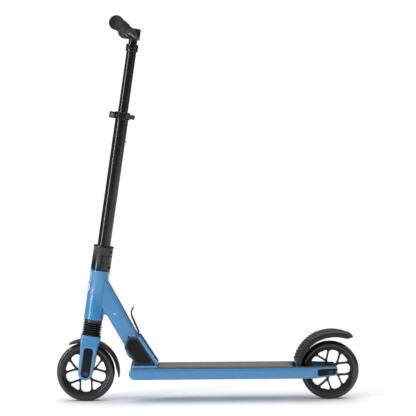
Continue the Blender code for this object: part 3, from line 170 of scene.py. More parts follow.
def mapped_noise(tree, scale, stretch=(1, 1, 1), detail=4.0):
    coordinates = node(tree, "ShaderNodeTexCoord")
    mapping = node(tree, "ShaderNodeMapping")
    mapping.inputs["Scale"].default_value = stretch
    tree.links.new(coordinates.outputs["Object"], mapping.inputs["Vector"])
    texture = node(tree, "ShaderNodeTexNoise", Scale=scale, Detail=detail, Roughness=0.6)
    tree.links.new(mapping.outputs["Vector"], texture.inputs["Vector"])
    return texture


def ramp(tree, source, low, high, dark, light):
    made = node(tree, "ShaderNodeValToRGB")
    made.color_ramp.elements[0].position = low
    made.color_ramp.elements[0].color = (*dark, 1)
    made.color_ramp.elements[1].position = high
    made.color_ramp.elements[1].color = (*light, 1)
    tree.links.new(source, made.inputs["Fac"])
    return made


def surface(name, colour, roughness, metallic=0.0, spread=0.12, mottle=60.0, grain=900.0,
            grain_depth=0.02, grain_size=0.0002, rough_spread=0.12, coat=0.0, stretch=(1, 1, 1),
            edge_highlight=None, rounding=0.0, specular=0.5):
    """A painted, moulded or metal surface: mottled colour, uneven gloss, fine grain, and a lighter colour
    on the edges as a painted edge highlight.
    """
    made = bpy.data.materials.new(name)
    made.use_nodes = True
    tree = made.node_tree
    shader = tree.nodes["Principled BSDF"]
    shader.inputs["Metallic"].default_value = metallic
    shader.inputs["Coat Weight"].default_value = coat
    shader.inputs["Coat Roughness"].default_value = 0.12
    shader.inputs["Specular IOR Level"].default_value = specular
    patches = mapped_noise(tree, mottle, stretch)
    dark = tuple(c * (1 - spread) for c in colour)
    light = tuple(min(1.0, c * (1 + spread)) for c in colour)
    tint = ramp(tree, patches.outputs["Fac"], 0.3, 0.7, dark, light)
    colour_out = tint.outputs["Color"]
    # Edges found by the Bevel node get a lighter colour mixed in: a painted edge highlight.
    if edge_highlight:
        bevel = node(tree, "ShaderNodeBevel", samples=4, Radius=0.0008)
        geometry = node(tree, "ShaderNodeNewGeometry")
        dot = node(tree, "ShaderNodeVectorMath", operation="DOT_PRODUCT")
        tree.links.new(bevel.outputs["Normal"], dot.inputs[0])
        tree.links.new(geometry.outputs["Normal"], dot.inputs[1])
        edge = ramp(tree, dot.outputs["Value"], 0.8, 0.97, (0.55, 0.55, 0.55), (0, 0, 0))
        mix = node(tree, "ShaderNodeMix", data_type="RGBA")
        mix.inputs["B"].default_value = (*edge_highlight, 1)
        tree.links.new(edge.outputs["Color"], mix.inputs["Factor"])
        tree.links.new(colour_out, mix.inputs["A"])
        colour_out = mix.outputs["Result"]
    tree.links.new(colour_out, shader.inputs["Base Color"])
    smudge = mapped_noise(tree, mottle * 0.6, stretch, 6.0)
    gloss = node(tree, "ShaderNodeMapRange")
    gloss.inputs["To Min"].default_value = max(0.02, roughness - rough_spread)
    gloss.inputs["To Max"].default_value = min(1.0, roughness + rough_spread)
    tree.links.new(smudge.outputs["Fac"], gloss.inputs["Value"])
    tree.links.new(gloss.outputs["Result"], shader.inputs["Roughness"])
    fine = mapped_noise(tree, grain, stretch, 3.0)
    bump = node(tree, "ShaderNodeBump", Strength=grain_depth, Distance=grain_size)
    tree.links.new(fine.outputs["Fac"], bump.inputs["Height"])
    if rounding:
        soft = node(tree, "ShaderNodeBevel", samples=4, Radius=rounding)
        tree.links.new(soft.outputs["Normal"], bump.inputs["Normal"])
    tree.links.new(bump.outputs["Normal"], shader.inputs["Normal"])
    return made


def grit_surface(name, colour):
    """Mineral grit under a matt coat; grain tops are lighter (grain tone plus painted sparkle) and the
    hollows between them darker (painted shade).
    """
    made = surface(name, colour, 0.9, grain=2200.0, grain_depth=0.6, grain_size=0.0005, spread=0.2,
                   mottle=120.0, specular=0.25)
    tree = made.node_tree
    shader = tree.nodes["Principled BSDF"]
    coordinates = node(tree, "ShaderNodeTexCoord")
    cells = node(tree, "ShaderNodeTexVoronoi", Scale=1100.0)
    tree.links.new(coordinates.outputs["Object"], cells.inputs["Vector"])
    # Cells that also drive the bump: lighter grain tops are painted sparkle, darker gaps between grains
    # are painted shade.
    grain_sparkle_and_shade = ramp(tree, cells.outputs["Distance"], 0.12, 0.55, tuple(c * 1.7 for c in colour),
                  tuple(c * 0.65 for c in colour))
    base = shader.inputs["Base Color"].links[0].from_socket
    mix = node(tree, "ShaderNodeMix", data_type="RGBA")
    mix.inputs["Factor"].default_value = 0.6
    tree.links.new(base, mix.inputs["A"])
    tree.links.new(grain_sparkle_and_shade.outputs["Color"], mix.inputs["B"])
    tree.links.new(mix.outputs["Result"], shader.inputs["Base Color"])
    bump = node(tree, "ShaderNodeBump", Strength=0.7, Distance=0.0005, invert=True)
    tree.links.new(cells.outputs["Distance"], bump.inputs["Height"])
    first = shader.inputs["Normal"].links[0].from_socket
    tree.links.new(first, bump.inputs["Normal"])
    tree.links.new(bump.outputs["Normal"], shader.inputs["Normal"])
    return made


BLUE = (0.036, 0.222, 0.475)
# The lighter edge colours passed to these surfaces are painted edge highlights.
blue = surface("blue_paint", BLUE, 0.36, spread=0.05, mottle=25.0, grain=1500.0, grain_depth=0.05,
               grain_size=0.0001, rough_spread=0.06, coat=1.0, specular=0.4, edge_highlight=(0.3, 0.55, 0.78),
               rounding=0.0006)
black = surface("black_paint", (0.009, 0.009, 0.01), 0.2, spread=0.2, mottle=40.0, grain=1800.0,
                grain_depth=0.06, grain_size=0.0001, rough_spread=0.06, coat=0.1,
                edge_highlight=(0.06, 0.06, 0.062), rounding=0.0005)
plastic = surface("moulded_plastic", (0.006, 0.006, 0.007), 0.42, specular=0.2, spread=0.2, mottle=50.0,
                  grain=2600.0, grain_depth=0.25, grain_size=0.00012, edge_highlight=(0.03, 0.03, 0.031),
                  rounding=0.0005)
# A lighter grey for the outer face ring of the hinge covers: painted highlight.
cover_rim_highlight = surface("cover_rim_highlight", (0.018, 0.018, 0.019), 0.34, spread=0.2, mottle=60.0, grain=2600.0,
                    grain_depth=0.2, grain_size=0.0001, rounding=0.0005)
fender_plastic = surface("fender_plastic", (0.01, 0.01, 0.011), 0.36, specular=0.4, spread=0.2,
                         mottle=30.0,
                         grain=2400.0, grain_depth=0.2, grain_size=0.0001, rounding=0.0004)
rim_plastic = surface("rim_plastic", (0.01, 0.01, 0.011), 0.3, specular=0.4, spread=0.2, mottle=60.0,
                      grain=2600.0, grain_depth=0.12, grain_size=0.0001, edge_highlight=(0.05, 0.05, 0.052),
                      rounding=0.0006)
rubber = surface("soft_rubber", (0.013, 0.013, 0.013), 0.6, spread=0.25, mottle=70.0, grain=3200.0,
                 grain_depth=0.4, grain_size=0.00015, specular=0.35)
gaiter = surface("gaiter_rubber", (0.01, 0.01, 0.01), 0.4, spread=0.2, mottle=60.0, grain=2600.0,
                 grain_depth=0.2, grain_size=0.0001, specular=0.6)
urethane = surface("tyre_urethane", (0.008, 0.008, 0.009), 0.22, coat=0.6, specular=0.4, spread=0.35,
                   mottle=22.0,
                   grain=1400.0, grain_depth=0.08, grain_size=0.00015, rough_spread=0.06)
mat_rubber = surface("mat_rubber", (0.1, 0.1, 0.098), 0.8, spread=0.15, mottle=80.0, grain=2600.0,
                     grain_depth=0.4, grain_size=0.0002, specular=0.3)
tape = grit_surface("grip_tape", (0.175, 0.175, 0.172))
steel = surface("zinc_steel", (0.58, 0.58, 0.6), 0.28, metallic=1.0, spread=0.12, mottle=300.0,
                grain=2600.0, grain_depth=0.1, grain_size=0.0001, rounding=0.0003)
dark_steel = surface("blackened_steel", (0.06, 0.06, 0.065), 0.36, metallic=0.8, spread=0.2,
                     mottle=200.0, grain=2200.0, grain_depth=0.15, grain_size=0.0001,
                     edge_highlight=(0.2, 0.2, 0.2), rounding=0.0003)
weld = surface("painted_weld", BLUE, 0.4, spread=0.06, mottle=200.0, grain=900.0, grain_depth=0.3,
               grain_size=0.0003, coat=0.3)
shield = surface("bearing_shield", (0.02, 0.02, 0.02), 0.5, spread=0.2, mottle=200.0)
white = surface("badge_white", (0.8, 0.81, 0.82), 0.3, spread=0.03, mottle=100.0, coat=0.4)
ink = surface("badge_ink", (0.045, 0.05, 0.06), 0.32, spread=0.1, mottle=100.0, coat=0.4)


# ------------------------------------------------------------------- geometry
def spot(axis, along, a, b):
    return {"X": (along, a, b), "Y": (a, along, b), "Z": (a, b, along)}[axis]


def arc(centre, radius, start, end, steps):
    turns = [radians(start + (end - start) * k / steps) for k in range(steps + 1)]
    return [(centre[0] + radius * cos(t), centre[1] + radius * sin(t)) for t in turns]


def rounded(corners, steps=6):
    """An outline from (a, b, fillet radius) corners."""
    outline = []
    count = len(corners)
    for i, (a, b, radius) in enumerate(corners):
        here = Vector((a, b))
        if radius <= 0:
            outline.append((a, b))
            continue
        back = (Vector(corners[i - 1][:2]) - here).normalized()
        ahead = (Vector(corners[(i + 1) % count][:2]) - here).normalized()
        half = acos(max(-1.0, min(1.0, back.dot(ahead)))) / 2
        centre = here + (back + ahead).normalized() * radius / sin(half)
        first = here + back * radius / tan(half) - centre
        last = here + ahead * radius / tan(half) - centre
        sweep = atan2(first.cross(last), first.dot(last))
        start = atan2(first.y, first.x)
        for k in range(steps + 1):
            turn = start + sweep * k / steps
            outline.append((centre.x + radius * cos(turn), centre.y + radius * sin(turn)))
    return outline


def oblong(a, b, easing, steps):
    """A rounded rectangle about the middle, from its half sizes."""
    return rounded([(-a, -b, easing), (a, -b, easing), (a, b, easing), (-a, b, easing)], steps)


def hoop(here, out, up, radius, count):
    """A ring of points about a place, in the plane of two directions."""
    turns = [2 * pi / count * k for k in range(count)]
    return [here + (out * cos(t) + up * sin(t)) * radius for t in turns]


def inset(outline, amount):
    """The outline moved inwards by an amount."""
    area = sum(a[0] * b[1] - b[0] * a[1] for a, b in zip(outline, outline[1:] + outline[:1]))
    turn = 1 if area > 0 else -1
    made = []
    for i, point in enumerate(outline):
        before = (Vector(point) - Vector(outline[i - 1])).normalized()
        after = (Vector(outline[(i + 1) % len(outline)]) - Vector(point)).normalized()
        first = Vector((-before.y, before.x)) * turn
        second = Vector((-after.y, after.x)) * turn
        lean = max(0.35, 1 + first.dot(second))
        shift = (first + second) / lean * amount
        made.append((point[0] + shift.x, point[1] + shift.y))
    return made


def stack(layers, axis="Z"):
    """A solid through (height, outline) layers that have the same number of points."""
    shape = bmesh.new()
    rings = [[shape.verts.new(spot(axis, height, a, b)) for a, b in outline] for height,
             outline in layers]
    bridge(shape, rings)
    shape.faces.new(rings[0])
    shape.faces.new(rings[-1])
    return shape


def bridge(shape, rings):
    for lower, upper in zip(rings, rings[1:]):
        for i, corner in enumerate(lower):
            j = (i + 1) % len(lower)
            shape.faces.new((corner, lower[j], upper[j], upper[i]))


def loft(sections):
    shape = bmesh.new()
    rings = [[shape.verts.new(point) for point in section] for section in sections]
    bridge(shape, rings)
    shape.faces.new(rings[0])
    shape.faces.new(rings[-1])
    return shape


def prism(outline, axis, low, high):
    return stack([(low, outline), (high, outline)], axis)


def plate(outline, axis, low, high, rim=0.0006, steps=3):
    """An outline extruded along an axis, with rounded rims."""
    low, high = sorted((low, high))
    turns = [pi / 2 * k / steps for k in range(steps + 1)]
    lower = [(low + rim * (1 - cos(t)), inset(outline, rim * (1 - sin(t)))) for t in turns]
    upper = [(high - rim * (1 - cos(t)), inset(outline, rim * (1 - sin(t)))) for t in turns[::-1]]
    return stack(lower + upper, axis)


def flared(outline, axis, half, edge):
    """A cutter whose outline widens where it leaves a plate of the given half thickness."""
    reach = 0.003
    wide = inset(outline, -edge - reach)
    return stack([(-half - reach, wide), (-half + edge, outline), (half - edge, outline),
                  (half + reach, wide)], axis)


def turned(profile, axis="Z", segments=64, centre=(0, 0), closed=True):
    shape = bmesh.new()
    rings = []
    for radius, height in profile:
        count = segments if radius > 1e-6 else 1
        turns = [2 * pi * (k + 0.5) / segments for k in range(count)]
        rings.append([shape.verts.new(spot(axis, height, centre[0] + radius * cos(t),
                                           centre[1] + radius * sin(t))) for t in turns])
    pairs = list(zip(rings, rings[1:] + rings[:1]))
    for lower, upper in pairs if closed else pairs[:-1]:
        for k in range(segments):
            m = (k + 1) % segments
            corners = [lower[k % len(lower)], lower[m % len(lower)],
                       upper[m % len(upper)], upper[k % len(upper)]]
            corners = list(dict.fromkeys(corners))
            if len(corners) > 2:
                shape.faces.new(corners)
    return shape


def rod(radius, low, high, axis="Z", centre=(0, 0), segments=40):
    step = 360 / segments
    return prism(arc(centre, radius, step / 2, 360 - step / 2, segments - 1), axis, low, high)


def disc(radius, low, high, axis="Z", centre=(0, 0), segments=40, rim=0.0004):
    step = 360 / segments
    return plate(arc(centre, radius, step / 2, 360 - step / 2, segments - 1), axis, low, high, rim)


def span(side, near, far):
    """Two distances from the middle plane as a low and a high place on the given side."""
    return sorted((side * near, side * far))


def box(low, high):
    outline = [(low[0], low[1]), (high[0], low[1]), (high[0], high[1]), (low[0], high[1])]
    return prism(outline, "Z", low[2], high[2])


def softened(profile, radius=0.0004):
    """A turned profile with its corners eased by small chamfers."""
    made = []
    count = len(profile)
    for i, point in enumerate(profile):
        here = Vector(point)
        if point[0] < 1e-6:
            made.append(point)
            continue
        for other in (Vector(profile[i - 1]), Vector(profile[(i + 1) % count])):
            away = other - here
            made.append(tuple(here + away.normalized() * min(radius, away.length * 0.3)))
    return made


def moved(shape, matrix):
    bmesh.ops.transform(shape, matrix=matrix, verts=shape.verts)
    return shape


def strap(route, thickness, axis, half, easing=0.0008, tip=1.0):
    """A rounded strip swept along a route, as wide as twice half along the axis."""
    points = [Vector(p) for p in route]
    last = len(points) - 1
    sections = []
    for i, here in enumerate(points):
        ahead = (points[min(i + 1, last)] - points[max(i - 1, 0)]).normalized()
        side = Vector((-ahead.y, ahead.x))
        deep = thickness / 2 * (1 + (tip - 1) * i / last)
        outline = oblong(deep, half, easing, 5)
        rows = [(0.0, 1.0, 0.0)]
        if i == 0:
            rows = [(-0.0007, 0.45, 0.0009), (-0.0004, 0.8, 0.0004)] + rows
        if i == last:
            rows = rows + [(0.0004, 0.8, 0.0004), (0.0007, 0.45, 0.0009)]
        for shift, share, trim in rows:
            at = here + ahead * shift
            flat = [(at + side * a * share, b * (1 - trim / half)) for a, b in outline]
            sections.append([spot(axis, b, place.x, place.y) for place, b in flat])
    return loft(sections)


def smooth_route(points, steps=5):
    """A Catmull-Rom curve through points."""
    route = []
    ends = [2 * Vector(points[0]) - Vector(points[1])] + [Vector(p) for p in points]
    ends.append(2 * Vector(points[-1]) - Vector(points[-2]))
    for a, b, c, d in zip(ends, ends[1:], ends[2:], ends[3:]):
        for k in range(steps):
            t = k / steps
            route.append(tuple(0.5 * ((2 * b) + (c - a) * t + (2 * a - 5 * b + 4 * c - d) * t * t
                                      + (3 * b - a - 3 * c + d) * t ** 3)))
    return route + [tuple(points[-1])]


def mesh_object(name, shape, look, sharp=35):
    bmesh.ops.recalc_face_normals(shape, faces=shape.faces)
    mesh = bpy.data.meshes.new(name)
    shape.to_mesh(mesh)
    shape.free()
    mesh.shade_smooth()
    mesh.set_sharp_from_angle(angle=radians(sharp))
    for one in look if isinstance(look, tuple) else (look,):
        mesh.materials.append(one)
    made = bpy.data.objects.new(name, mesh)
    scene.collection.objects.link(made)
    return made


def carve(target, operation, *shapes, sharp=35):
    """Cut, join or intersect, applied to the mesh straight away."""
    tools = []
    for shape in shapes:
        tool = mesh_object("tool", shape, target.data.materials[0])
        tools.append(tool)
        step = target.modifiers.new("step", "BOOLEAN")
        step.operation = operation
        step.solver = "EXACT"
        step.object = tool
    graph = bpy.context.evaluated_depsgraph_get()
    fresh = bpy.data.meshes.new_from_object(target.evaluated_get(graph))
    target.modifiers.clear()
    target.data = fresh
    fresh.shade_smooth()
    fresh.set_sharp_from_angle(angle=radians(sharp))
    for tool in tools:
        bpy.data.objects.remove(tool, do_unlink=True)
    return target


def cut(target, *shapes):
    return carve(target, "DIFFERENCE", *shapes)


def join(target, *shapes):
    return carve(target, "UNION", *shapes)


def stands_for(made, node_name, body=None):
    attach(made, body or frame["nodes"][node_name]["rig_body"])
    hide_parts(node_name)
    return made


def piece(name, shape, look, sharp=35):
    """A refined piece that takes the place of the CAD node of the same name."""
    return stands_for(mesh_object(name + "_fine", shape, look, sharp), name)


def paint(look, *names):
    for name in names:
        slots = frame["nodes"][name].material_slots
        for slot in slots:
            slot.material = look


# --------------------------------------------------------------------- wheels
def window(inner, inner_half, outer, outer_half, inner_fillet, outer_fillet, turn):
    corners = rounded([(inner, -inner_half, inner_fillet), (outer, -outer_half, outer_fillet),
                       (outer, outer_half, outer_fillet), (inner, inner_half, inner_fillet)], 6)
    return [(a * cos(turn) - b * sin(turn), a * sin(turn) + b * cos(turn)) for a, b in corners]


def wheel(end, centre, first_window):
    place = Matrix.Translation(centre)
    half, seat, groove = TYRE_HALF, RIM_RADIUS + GAP, 0.004
    side = [(seat, groove + GAP), (seat, 0.0122), (seat + 0.0006, 0.013), (0.0602, 0.0137),
            (0.0606, 0.0134), (0.061, 0.0138), (0.0635, half), (0.066, 0.0138),
            (0.068, 0.01285), (0.0697, 0.0117), (0.071, 0.0103), (0.0719, 0.009), (WHEEL_RADIUS, 0.0076)]
    key = [(seat + groove, 0.003 + GAP)]
    profile = key + side + [(r, -y) for r, y in side[::-1]] + [(key[0][0], -key[0][1])]
    piece(f"{end}_tyre", moved(turned(profile, "Y", 144), place), urethane, 50)

    bead = half - 0.0018
    shoulder = HUB_HALF - BEARING_WIDTH - GAP
    bore = BEARING_RADIUS + GAP
    outside = [(RIM_RADIUS + groove - GAP, 0.003), (RIM_RADIUS, groove), (RIM_RADIUS, bead - 0.0005),
               (RIM_RADIUS - 0.0008, bead), (RIM_INNER + 0.0008, bead - 0.0011),
               (RIM_INNER, bead - 0.0018), (RIM_INNER - 0.0003, SPOKE_HALF + 0.0012),
               (RIM_INNER - 0.0012, SPOKE_HALF + 0.0003), (RIM_INNER - 0.0024, SPOKE_HALF),
               (HUB_RADIUS + 0.003, SPOKE_HALF), (HUB_RADIUS + 0.0012, SPOKE_HALF + 0.0005),
               (HUB_RADIUS, SPOKE_HALF + 0.0018), (HUB_RADIUS, HUB_HALF - 0.0005),
               (HUB_RADIUS - 0.0005, HUB_HALF), (bore, HUB_HALF), (bore, shoulder), (0.0088, shoulder)]
    profile = outside + [(r, -y) for r, y in outside[::-1]]
    rim = piece(f"{end}_rim", turned(profile, "Y", 96), rim_plastic)
    cutters = []
    for k in range(SPOKES):
        turn = first_window + 2 * pi * k / SPOKES
        for sizes, offset in ((WIDE_WINDOW, 0), (SMALL_WINDOW, pi / SPOKES)):
            cutters.append(flared(window(*sizes, turn + offset), "Y", SPOKE_HALF, 0.0005))
    cut(rim, *cutters)
    rim.data.transform(place)

    for sign, label in SIDES:
        low, high = sign * (HUB_HALF - BEARING_WIDTH), sign * (HUB_HALF - 0.0001)
        dish = high - sign * 0.0007
        race = [(AXLE_RADIUS + GAP, low), (BEARING_RADIUS, low), (BEARING_RADIUS, high),
                (BEARING_RADIUS - 0.0015, high), (BEARING_RADIUS - 0.0019, dish),
                (0.0066, dish), (0.0063, high), (AXLE_RADIUS + GAP, high)]
        made = piece(f"{end}_bearing_{label}", moved(turned(race, "Y", 64), place), (steel, shield))
        points = made.data.vertices
        for face in made.data.polygons:
            spread = [hypot(points[i].co.x - centre.x, points[i].co.z - centre.z) for i in face.vertices]
            if 0.0064 < min(spread) and max(spread) < 0.0093:
                face.material_index = 1
    spacer = softened([(AXLE_RADIUS + GAP, -shoulder), (0.0064, -shoulder), (0.0064, shoulder),
                       (AXLE_RADIUS + GAP, shoulder)])
    piece(f"{end}_bearing_spacer", moved(turned(spacer, "Y", 48), place), dark_steel)


def hexagon(radius):
    return [(radius * cos(pi / 3 * k + 0.3), radius * sin(pi / 3 * k + 0.3)) for k in range(6)]


def axle(end, half_length, centre):
    """A socket-head bolt and its capped nut."""
    place = Matrix.Translation(centre)
    head = 0.0026
    bolt = [(0, -half_length - head), (HEAD_R - 0.0008, -half_length - head),
            (HEAD_R - 0.0002, -half_length - head + 0.0003), (HEAD_R, -half_length - head + 0.0008),
            (HEAD_R, -half_length), (AXLE_RADIUS, -half_length), (AXLE_RADIUS, half_length + 0.0008),
            (0, half_length + 0.0008)]
    made = piece(f"{end}_axle", turned(bolt, "Y", 48, closed=False), dark_steel)
    cut(made, prism(hexagon(0.0028), "Y", -half_length - head - 0.001, -half_length - 0.0004))
    made.data.transform(place)
    nut = [(AXLE_RADIUS + GAP, half_length), (HEAD_R, half_length), (HEAD_R, half_length + head - 0.001),
           (HEAD_R - 0.0006, half_length + head - 0.0003), (HEAD_R - 0.0018, half_length + head),
           (0, half_length + head), (0, half_length + 0.0014), (AXLE_RADIUS + GAP, half_length + 0.0014)]
    piece(f"{end}_axle_nut", moved(turned(nut, "Y", 48), place), dark_steel)


# ----------------------------------------------------------------------- deck
def arm_slope():
    return (DECK_HALF - ARM_TIP_HALF) / (TIP_X - ARM_BEND)


def rail_half(x):
    """Half-width of a rail's outer face at x."""
    return DECK_HALF - max(0.0, x - ARM_BEND) * arm_slope()


def side_heights(x):
    """Lowest and highest point of the rail at x, with its rounded nose and tapered tip."""
    low, high = DECK_LOW, DECK_HIGH
    nose = x - DECK_FRONT
    if nose < 0.014:
        low += 0.014 - sqrt(max(0.0, 0.014 ** 2 - (0.014 - nose) ** 2))
    if nose < 0.011:
        high -= 0.011 - sqrt(max(0.0, 0.011 ** 2 - (0.011 - nose) ** 2))
    start = ARM_BEND + 0.006
    if x > start:
        low += (x - start) * 0.0045 / (TIP_X - 0.005 - start)
    if x > TIP_X - 0.005:
        low += 0.006 * (1 - sqrt(max(0.0, 1 - ((x - TIP_X + 0.005) / 0.005) ** 2)))
    if x > TIP_X - 0.003:
        high -= 0.003 * (1 - sqrt(max(0.0, 1 - ((x - TIP_X + 0.003) / 0.003) ** 2)))
    return low, high


def build_rail(side, label):
    stations = [DECK_FRONT + 0.0003 + 0.014 * (1 - cos(pi / 2 * k / 9)) for k in range(10)]
    stations += [ARM_BEND - 0.1, ARM_BEND - 0.004, ARM_BEND - 0.0015, ARM_BEND + 0.0015, ARM_BEND + 0.006]
    stations += [ARM_BEND + 0.02, ARM_BEND + 0.035]
    stations += [TIP_X - 0.006 + 0.006 * sin(pi / 2 * k / 8) for k in range(9)]
    sections = []
    for x in stations:
        low, high = side_heights(x)
        outer = rail_half(x)
        nose = max(0.0, 0.008 - (x - DECK_FRONT))
        outer -= 0.008 - sqrt(0.008 ** 2 - nose ** 2) if nose < 0.008 else 0.0075
        inner = rail_half(x) - RAIL
        easing = min(0.0026, (high - low) * 0.3)
        outline = rounded([(inner, low, 0.0004), (outer, low, easing), (outer, high, easing * 0.6),
                           (inner, high, 0.0004)], 4)
        sections.append([(x, side * y, z) for y, z in outline])
    rail = piece(f"side_rail_{label}", loft(sections), blue, 30)
    centre = (REAR_AXLE.x, REAR_AXLE.z)
    middle = rail_half(REAR_AXLE.x) - RAIL / 2
    join(rail, disc(BOSS_RADIUS, *span(side, HUB_HALF + GAP, middle), "Y", centre))
    cut(rail, rod(AXLE_RADIUS + GAP, *span(side, 0.005, 0.06), "Y", centre),
        rod(HEAD_R + GAP, *span(side, axle_face() - GAP, 0.06), "Y", centre),
        rod(FENDER_PIN_BORE, *span(side, 0.03, DECK_HALF - 0.004), "Y", (FENDER_PIVOT.x, FENDER_PIVOT.z)),
        arm_inlay(side, GAP, 0.0021, 0.004, 0))


def axle_face():
    return DECK_HALF - REAR_ARM * arm_slope() - AXLE_RECESS


def arm_inlay(side, spread, depth, proud, rim):
    turn = side * -atan(arm_slope())
    length = hypot(TIP_X - ARM_BEND, DECK_HALF - ARM_TIP_HALF)
    low, high = DECK_LOW + 0.005 - spread, DECK_HIGH - 0.0042 + spread
    rear = length - 0.0012 + spread * 4
    outline = rounded([(0.01 - spread, high, 0.007), (rear, high, 0.002),
                       (rear - 0.004, low + 0.003, 0.004), (0.01 - spread, low, 0.007)], 6)
    ends = sorted((-side * depth, side * proud))
    solid = plate(outline, "Y", *ends, rim) if rim else prism(outline, "Y", *ends)
    place = Matrix.Translation((ARM_BEND, side * DECK_HALF, 0)) @ Matrix.Rotation(turn, 4, "Z")
    return moved(solid, place)


def build_deck():
    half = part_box("deck_platform")[1].y
    nose_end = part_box("deck_nose")[1].x
    outline = rounded([(DECK_FRONT, DECK_HIGH, 0.011), (nose_end, DECK_HIGH, 0),
                       (nose_end, DECK_LOW, 0), (DECK_FRONT, DECK_LOW, 0.014)], 12)
    piece("deck_nose", prism(outline, "Y", -half, half), blue)
    front = nose_end + GAP
    platform = piece("deck_platform", box((front, -half, DECK_LOW), (DECK_REAR, half, DECK_HIGH)), blue)
    wall = 0.003
    cell = (2 * half - 4 * wall) / 3
    for k in range(3):
        left = -half + wall + k * (cell + wall)
        cell_outline = rounded([(left, DECK_LOW + wall, 0.002), (left + cell, DECK_LOW + wall, 0.002),
                                (left + cell, DECK_HIGH - wall, 0.002), (left, DECK_HIGH - wall, 0.002)],
                                4)
        cut(platform, prism(cell_outline, "X", front - 0.001, DECK_REAR + 0.001))
    flutes = [prism(rounded([(y - 0.0016, DECK_LOW - 0.001, 0), (y + 0.0016, DECK_LOW - 0.001, 0),
                             (y + 0.0008, DECK_LOW + 0.0009, 0.0003),
                             (y - 0.0008, DECK_LOW + 0.0009, 0.0003)], 2),
                    "X", front - 0.001, DECK_REAR + 0.001) for y in (-0.03, -0.015, 0.0, 0.015, 0.03)]
    cut(platform, *flutes)

    edge, inner_edge = 0.0015, RAIL - 0.00075
    tip = TIP_X - 0.004
    half_plan = [(DECK_REAR + 0.006, DECK_HALF - inner_edge), (ARM_BEND, DECK_HALF - inner_edge),
                 (tip, rail_half(tip) - inner_edge), (tip, rail_half(tip) - edge),
                 (ARM_BEND, DECK_HALF - edge)]
    plan = [(DECK_FRONT + 0.0095, -(DECK_HALF - edge), 0.006)]
    plan += [(x, -y, 0.0012 if 0 < i < 4 else 0.002) for i, (x, y) in list(enumerate(half_plan))[::-1]]
    plan += [(x, y, 0.0012 if 0 < i < 4 else 0.002) for i, (x, y) in enumerate(half_plan)]
    plan += [(DECK_FRONT + 0.0095, DECK_HALF - edge, 0.006)]
    piece("deck_mat", plate(rounded(plan, 4), "Z", MAT_LOW, MAT_HIGH, 0.0008), mat_rubber)
    low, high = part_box("grip_tape")
    corners = rounded([(low.x, low.y, 0.003), (high.x, low.y, 0.003), (high.x, high.y, 0.003),
                       (low.x, high.y, 0.003)], 8)
    piece("grip_tape", plate(corners, "Z", TAPE_LOW, TAPE_HIGH, 0.0003), tape)


# ----------------------------------------------------------------- fold hinge
def tangent_outline(centre, radius, left, right, corner, steps=24):
    def touch(point, side):
        away = Vector(point) - Vector(centre)
        return degrees(atan2(away.y, away.x) + side * acos(radius / away.length))

    top = arc(centre, radius, touch(right, 1), touch(left, -1) % 360, steps)
    return top + rounded([(*top[-1], 0), (*left, corner), (*right, corner), (*top[0], 0)])[1:-1]


def build_cover(side, label):
    centre = (PIVOT.x, PIVOT.z)
    corner_z = FLANGE_TOP + GAP

    def outline(step):
        left = (PIVOT.x + 0.004 + step * 1.1, corner_z + step)
        right = (PIVOT.x + 0.0553 - step * 1.9, corner_z + step)
        return tangent_outline(centre, COVER_RADIUS - step, left, right, 0.003)

    cover = piece(f"hinge_cover_{label}",
                  plate(outline(0), "Y", side * COVER_INNER, side * COVER_OUTER, 0.0012, 4), plastic)
    floor = COVER_OUTER - 0.0013
    recess = stack([(side * floor, outline(0.005)), (side * (floor + 0.0004), outline(0.0046)),
                    (side * COVER_OUTER, outline(0.004)), (side * (COVER_OUTER + 0.001),
                                                           outline(0.0036))], "Y")
    cut(cover, prism(outline(0.0018), "Y", *span(side, COVER_INNER - 0.002, floor - 0.0018)),
        recess)
    # The outer face ring of the cover gets the lighter grey material: painted highlight.
    cover.data.materials.append(cover_rim_highlight)
    for face in cover.data.polygons:
        if abs(face.center.y) > COVER_OUTER - 0.0009:
            face.material_index = 1
    join(cover, disc(0.0034, *span(side, floor - 0.001, COVER_OUTER - 0.0003), "Y", centre))
    cut(cover, prism([(centre[0] + a, centre[1] + b) for a, b in hexagon(0.0017)], "Y",
                     *span(side, COVER_OUTER - 0.001, COVER_OUTER + 0.001)))


# ---------------------------------------------------------------- front frame
def head_joint():
    reach = FRONT_AXLE - PIVOT
    along = Vector((-cos(SLOPE), 0, sin(SLOPE)))
    across = STEERING.x * along.z - STEERING.z * along.x
    return (STEERING.x * reach.z - STEERING.z * reach.x) / across


def weld_bead(to_tube):
    """A rippled bead where the down tube meets the head tube."""
    to_head = to_tube.inverted()
    half, wide = TUBE_HALF_HEIGHT + 0.0012, TUBE_HALF_WIDTH
    around = oblong(half, wide, 0.006, 10)
    fine = []
    for a, b in zip(around, around[1:] + around[:1]):
        steps = max(1, int((Vector(b) - Vector(a)).length / 0.0012))
        fine += [tuple(Vector(a).lerp(Vector(b), k / steps)) for k in range(steps)]
    path = []
    along = (to_head.to_3x3() @ Vector((0, 0, 1))).normalized()
    for x, y in fine:
        start = to_head @ Vector((x, y, 0))
        a = along.x ** 2 + along.y ** 2
        b = 2 * (start.x * along.x + start.y * along.y)
        c = start.x ** 2 + start.y ** 2 - (HEAD_RADIUS - 0.0002) ** 2
        root = max(0.0, b * b - 4 * a * c)
        path.append(to_tube @ (start + along * (-b - sqrt(root)) / (2 * a)))
    sections = []
    count = len(path)
    for i, here in enumerate(path):
        ahead = (path[(i + 1) % count] - path[i - 1]).normalized()
        out = Vector((here.x, here.y, 0))
        out = (out - ahead * out.dot(ahead)).normalized()
        up = ahead.cross(out)
        size = 0.0015 * (1 + 0.16 * abs(sin(i * pi / 2.4)))
        sections.append(hoop(here, out, up, size, 8))
    shape = bmesh.new()
    rings = [[shape.verts.new(p) for p in section] for section in sections]
    bridge(shape, rings + rings[:1])
    return shape


